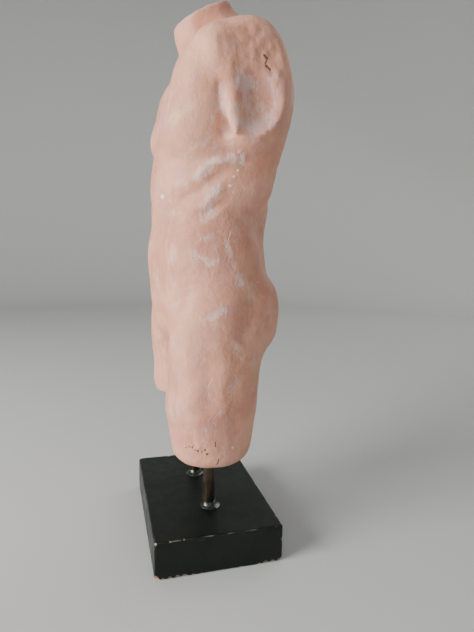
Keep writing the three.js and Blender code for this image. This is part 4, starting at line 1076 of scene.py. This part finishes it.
for side, x, cut in (("left", ROD_X, 73.0), ("right", -ROD_X, 115.0)):
    rod = turned(f"steel_rod_{side}", [(4.0, 14.4), (4.0, 30.25), (4.9, 30.3), (5.0, 30.4), (5.0, 100.0), (5.0, 169.0), (4.7, 169.7), (4.0, 170.0), (0.0, 170.0)], x, "stand")
    rod.data.materials.append(ROD)
    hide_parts(f"rod_{side}")
    stud = thread(x, 2.4, 14.2, 8.0, 1.25, f"stud_thread_{side}", "stand")
    stud.data.materials.append(ZINC)
    finish_piece(turned(f"flat_washer_{side}", [(4.3, 12.3), (4.4, 12.1), (9.7, 12.1), (10.0, 12.35), (10.0, 13.5), (9.8, 13.7), (4.4, 13.7), (4.3, 13.55)], x, "stand", closed=True), ZINC, f"washer_{side}")
    finish_piece(hex_nut(f"hex_nut_{side}", x, 5.3, 11.8, 0.35 if side == "left" else 0.9), ZINC, f"nut_{side}")
    ph = 0.7 if side == "left" else 2.1
    blob = lambda a, z, r, ph=ph: (0.0 if r < 5.6 else (r - 5.4) / 4.0 * (1.1 * math.sin(a + ph) + 0.55 * math.sin(2 * a + 1.3 * ph) + 0.3 * math.sin(5 * a + ph)) - 0.9 * (r - 5.4) / 4.0)
    finish_piece(turned(f"glue_ring_{side}", [(5.25, 30.25), (9.4, 30.25), (9.5, 30.45), (9.1, 30.8), (8.2, 31.2), (7.2, 31.7), (6.5, 32.5), (6.0, 33.4), (5.6, 34.3), (5.25, 34.5)], x, "stand", seg=72, wob=blob, closed=True), GLUE, f"glue_{side}")
    finish_piece(turned(f"leg_sleeve_{side}", [(5.3, cut + 0.7), (5.6, cut + 0.4), (6.8, cut + 0.4), (7.0, cut + 0.6), (7.0, 169.8), (6.8, 170.0), (5.5, 170.0), (5.3, 169.8)], x, "torso", closed=True), TUBE, f"sleeve_{side}")
    finish_piece(turned(f"sleeve_stop_{side}", [(0.0, 170.3), (6.6, 170.3), (7.0, 170.7), (7.0, 173.9), (6.6, 174.3), (0.0, 174.3)], x, "torso"), TUBE, f"rod_stop_{side}")

# ---------------------------------------------------------------- floor, light and camera
def plain(name, colour, rough):
    m = bpy.data.materials.new(name)
    m.use_nodes = True
    b = m.node_tree.nodes["Principled BSDF"]
    b.inputs["Base Color"].default_value = colour
    b.inputs["Roughness"].default_value = rough
    return m


def make_floor():
    # one sweep: floor, cove and wall behind, all the way round the camera's view
    n, R, r, H = 96, 2.2, 0.5, 2.6
    prof = [(0.0, 0.0), (0.6, 0.0), (R - r, 0.0)] + [(R - r + r * math.sin(t), r - r * math.cos(t)) for t in np.linspace(0.1, math.pi / 2, 12)] + [(R, H)]
    verts, faces = [(0, 0, 0)], []
    for q in prof[1:]:
        for s in range(n):
            a = 2 * math.pi * s / n
            verts.append((q[0] * math.cos(a), q[0] * math.sin(a), q[1]))
    for s in range(n):
        faces.append((0, 1 + s, 1 + (s + 1) % n))
    for i in range(len(prof) - 2):
        for s in range(n):
            t = (s + 1) % n
            faces.append((1 + i * n + s, 1 + (i + 1) * n + s, 1 + (i + 1) * n + t, 1 + i * n + t))
    me = bpy.data.meshes.new("studio_sweep")
    me.from_pydata(verts, [], faces)
    me.update()
    me.polygons.foreach_set("use_smooth", np.ones(len(me.polygons), bool))
    ob = bpy.data.objects.new("studio_sweep", me)
    bpy.context.scene.collection.objects.link(ob)
    me.materials.append(plain("pale_sweep", srgb(206, 208, 206), 0.85))
    return ob


make_floor()
world = bpy.data.worlds.new("studio")
bpy.context.scene.world = world
world.use_nodes = True
bg = world.node_tree.nodes["Background"]
bg.inputs["Color"].default_value = (0.80, 0.86, 0.90, 1)
bg.inputs["Strength"].default_value = 0.14

F_PX, CX_MM, CY_MM, CZ_MM = 482.46, 402.98, -82.57, 242.62
AZ, PITCH, ROLL = 1.29762, 0.13599, 0.01815
cam = bpy.data.objects.new("camera", bpy.data.cameras.new("camera"))
bpy.context.scene.collection.objects.link(cam)
bpy.context.scene.camera = cam
fw = Vector((-math.sin(AZ) * math.cos(PITCH), math.cos(AZ) * math.cos(PITCH), -math.sin(PITCH)))
rt = fw.cross(Vector((0, 0, 1))).normalized()
up = rt.cross(fw)
c_, s_ = math.cos(ROLL), math.sin(ROLL)
r2, u2 = c_ * rt + s_ * up, -s_ * rt + c_ * up
cam.matrix_world = Matrix(((r2.x, u2.x, -fw.x, CX_MM / 1000), (r2.y, u2.y, -fw.y, CY_MM / 1000), (r2.z, u2.z, -fw.z, CZ_MM / 1000), (0, 0, 0, 1)))
cam.data.sensor_width = 36
cam.data.lens = F_PX / 632 * 36
cam.data.clip_start = 0.02
cam.data.clip_end = 20
cam.data.dof.use_dof = False


def area(name, loc, target, size, power, colour=(1, 1, 1)):
    l = bpy.data.objects.new(name, bpy.data.lights.new(name, "AREA"))
    l.data.shape = "RECTANGLE"
    l.data.size, l.data.size_y = size
    l.data.energy = power
    l.data.color = colour
    l.location = loc
    l.rotation_euler = (Vector(target) - Vector(loc)).to_track_quat("-Z", "Y").to_euler()
    bpy.context.scene.collection.objects.link(l)
    return l


area("window", (0.42, -1.40, 0.60), (0, 0, 0.27), (0.8, 1.0), 41, (1.0, 0.975, 0.945))
area("camera_side", (1.5, 0.0, 0.8), (0, 0, 0.25), (1.0, 1.0), 1.9, (0.95, 0.98, 1.0))
area("top", (-0.1, -0.3, 1.6), (0, 0, 0.2), (1.2, 1.2), 3.2, (1.0, 1.0, 1.0))
area("back", (-0.95, 1.45, 1.3), (0, 0, 0.25), (1.1, 1.1), 7.0, (1.0, 1.0, 1.0))
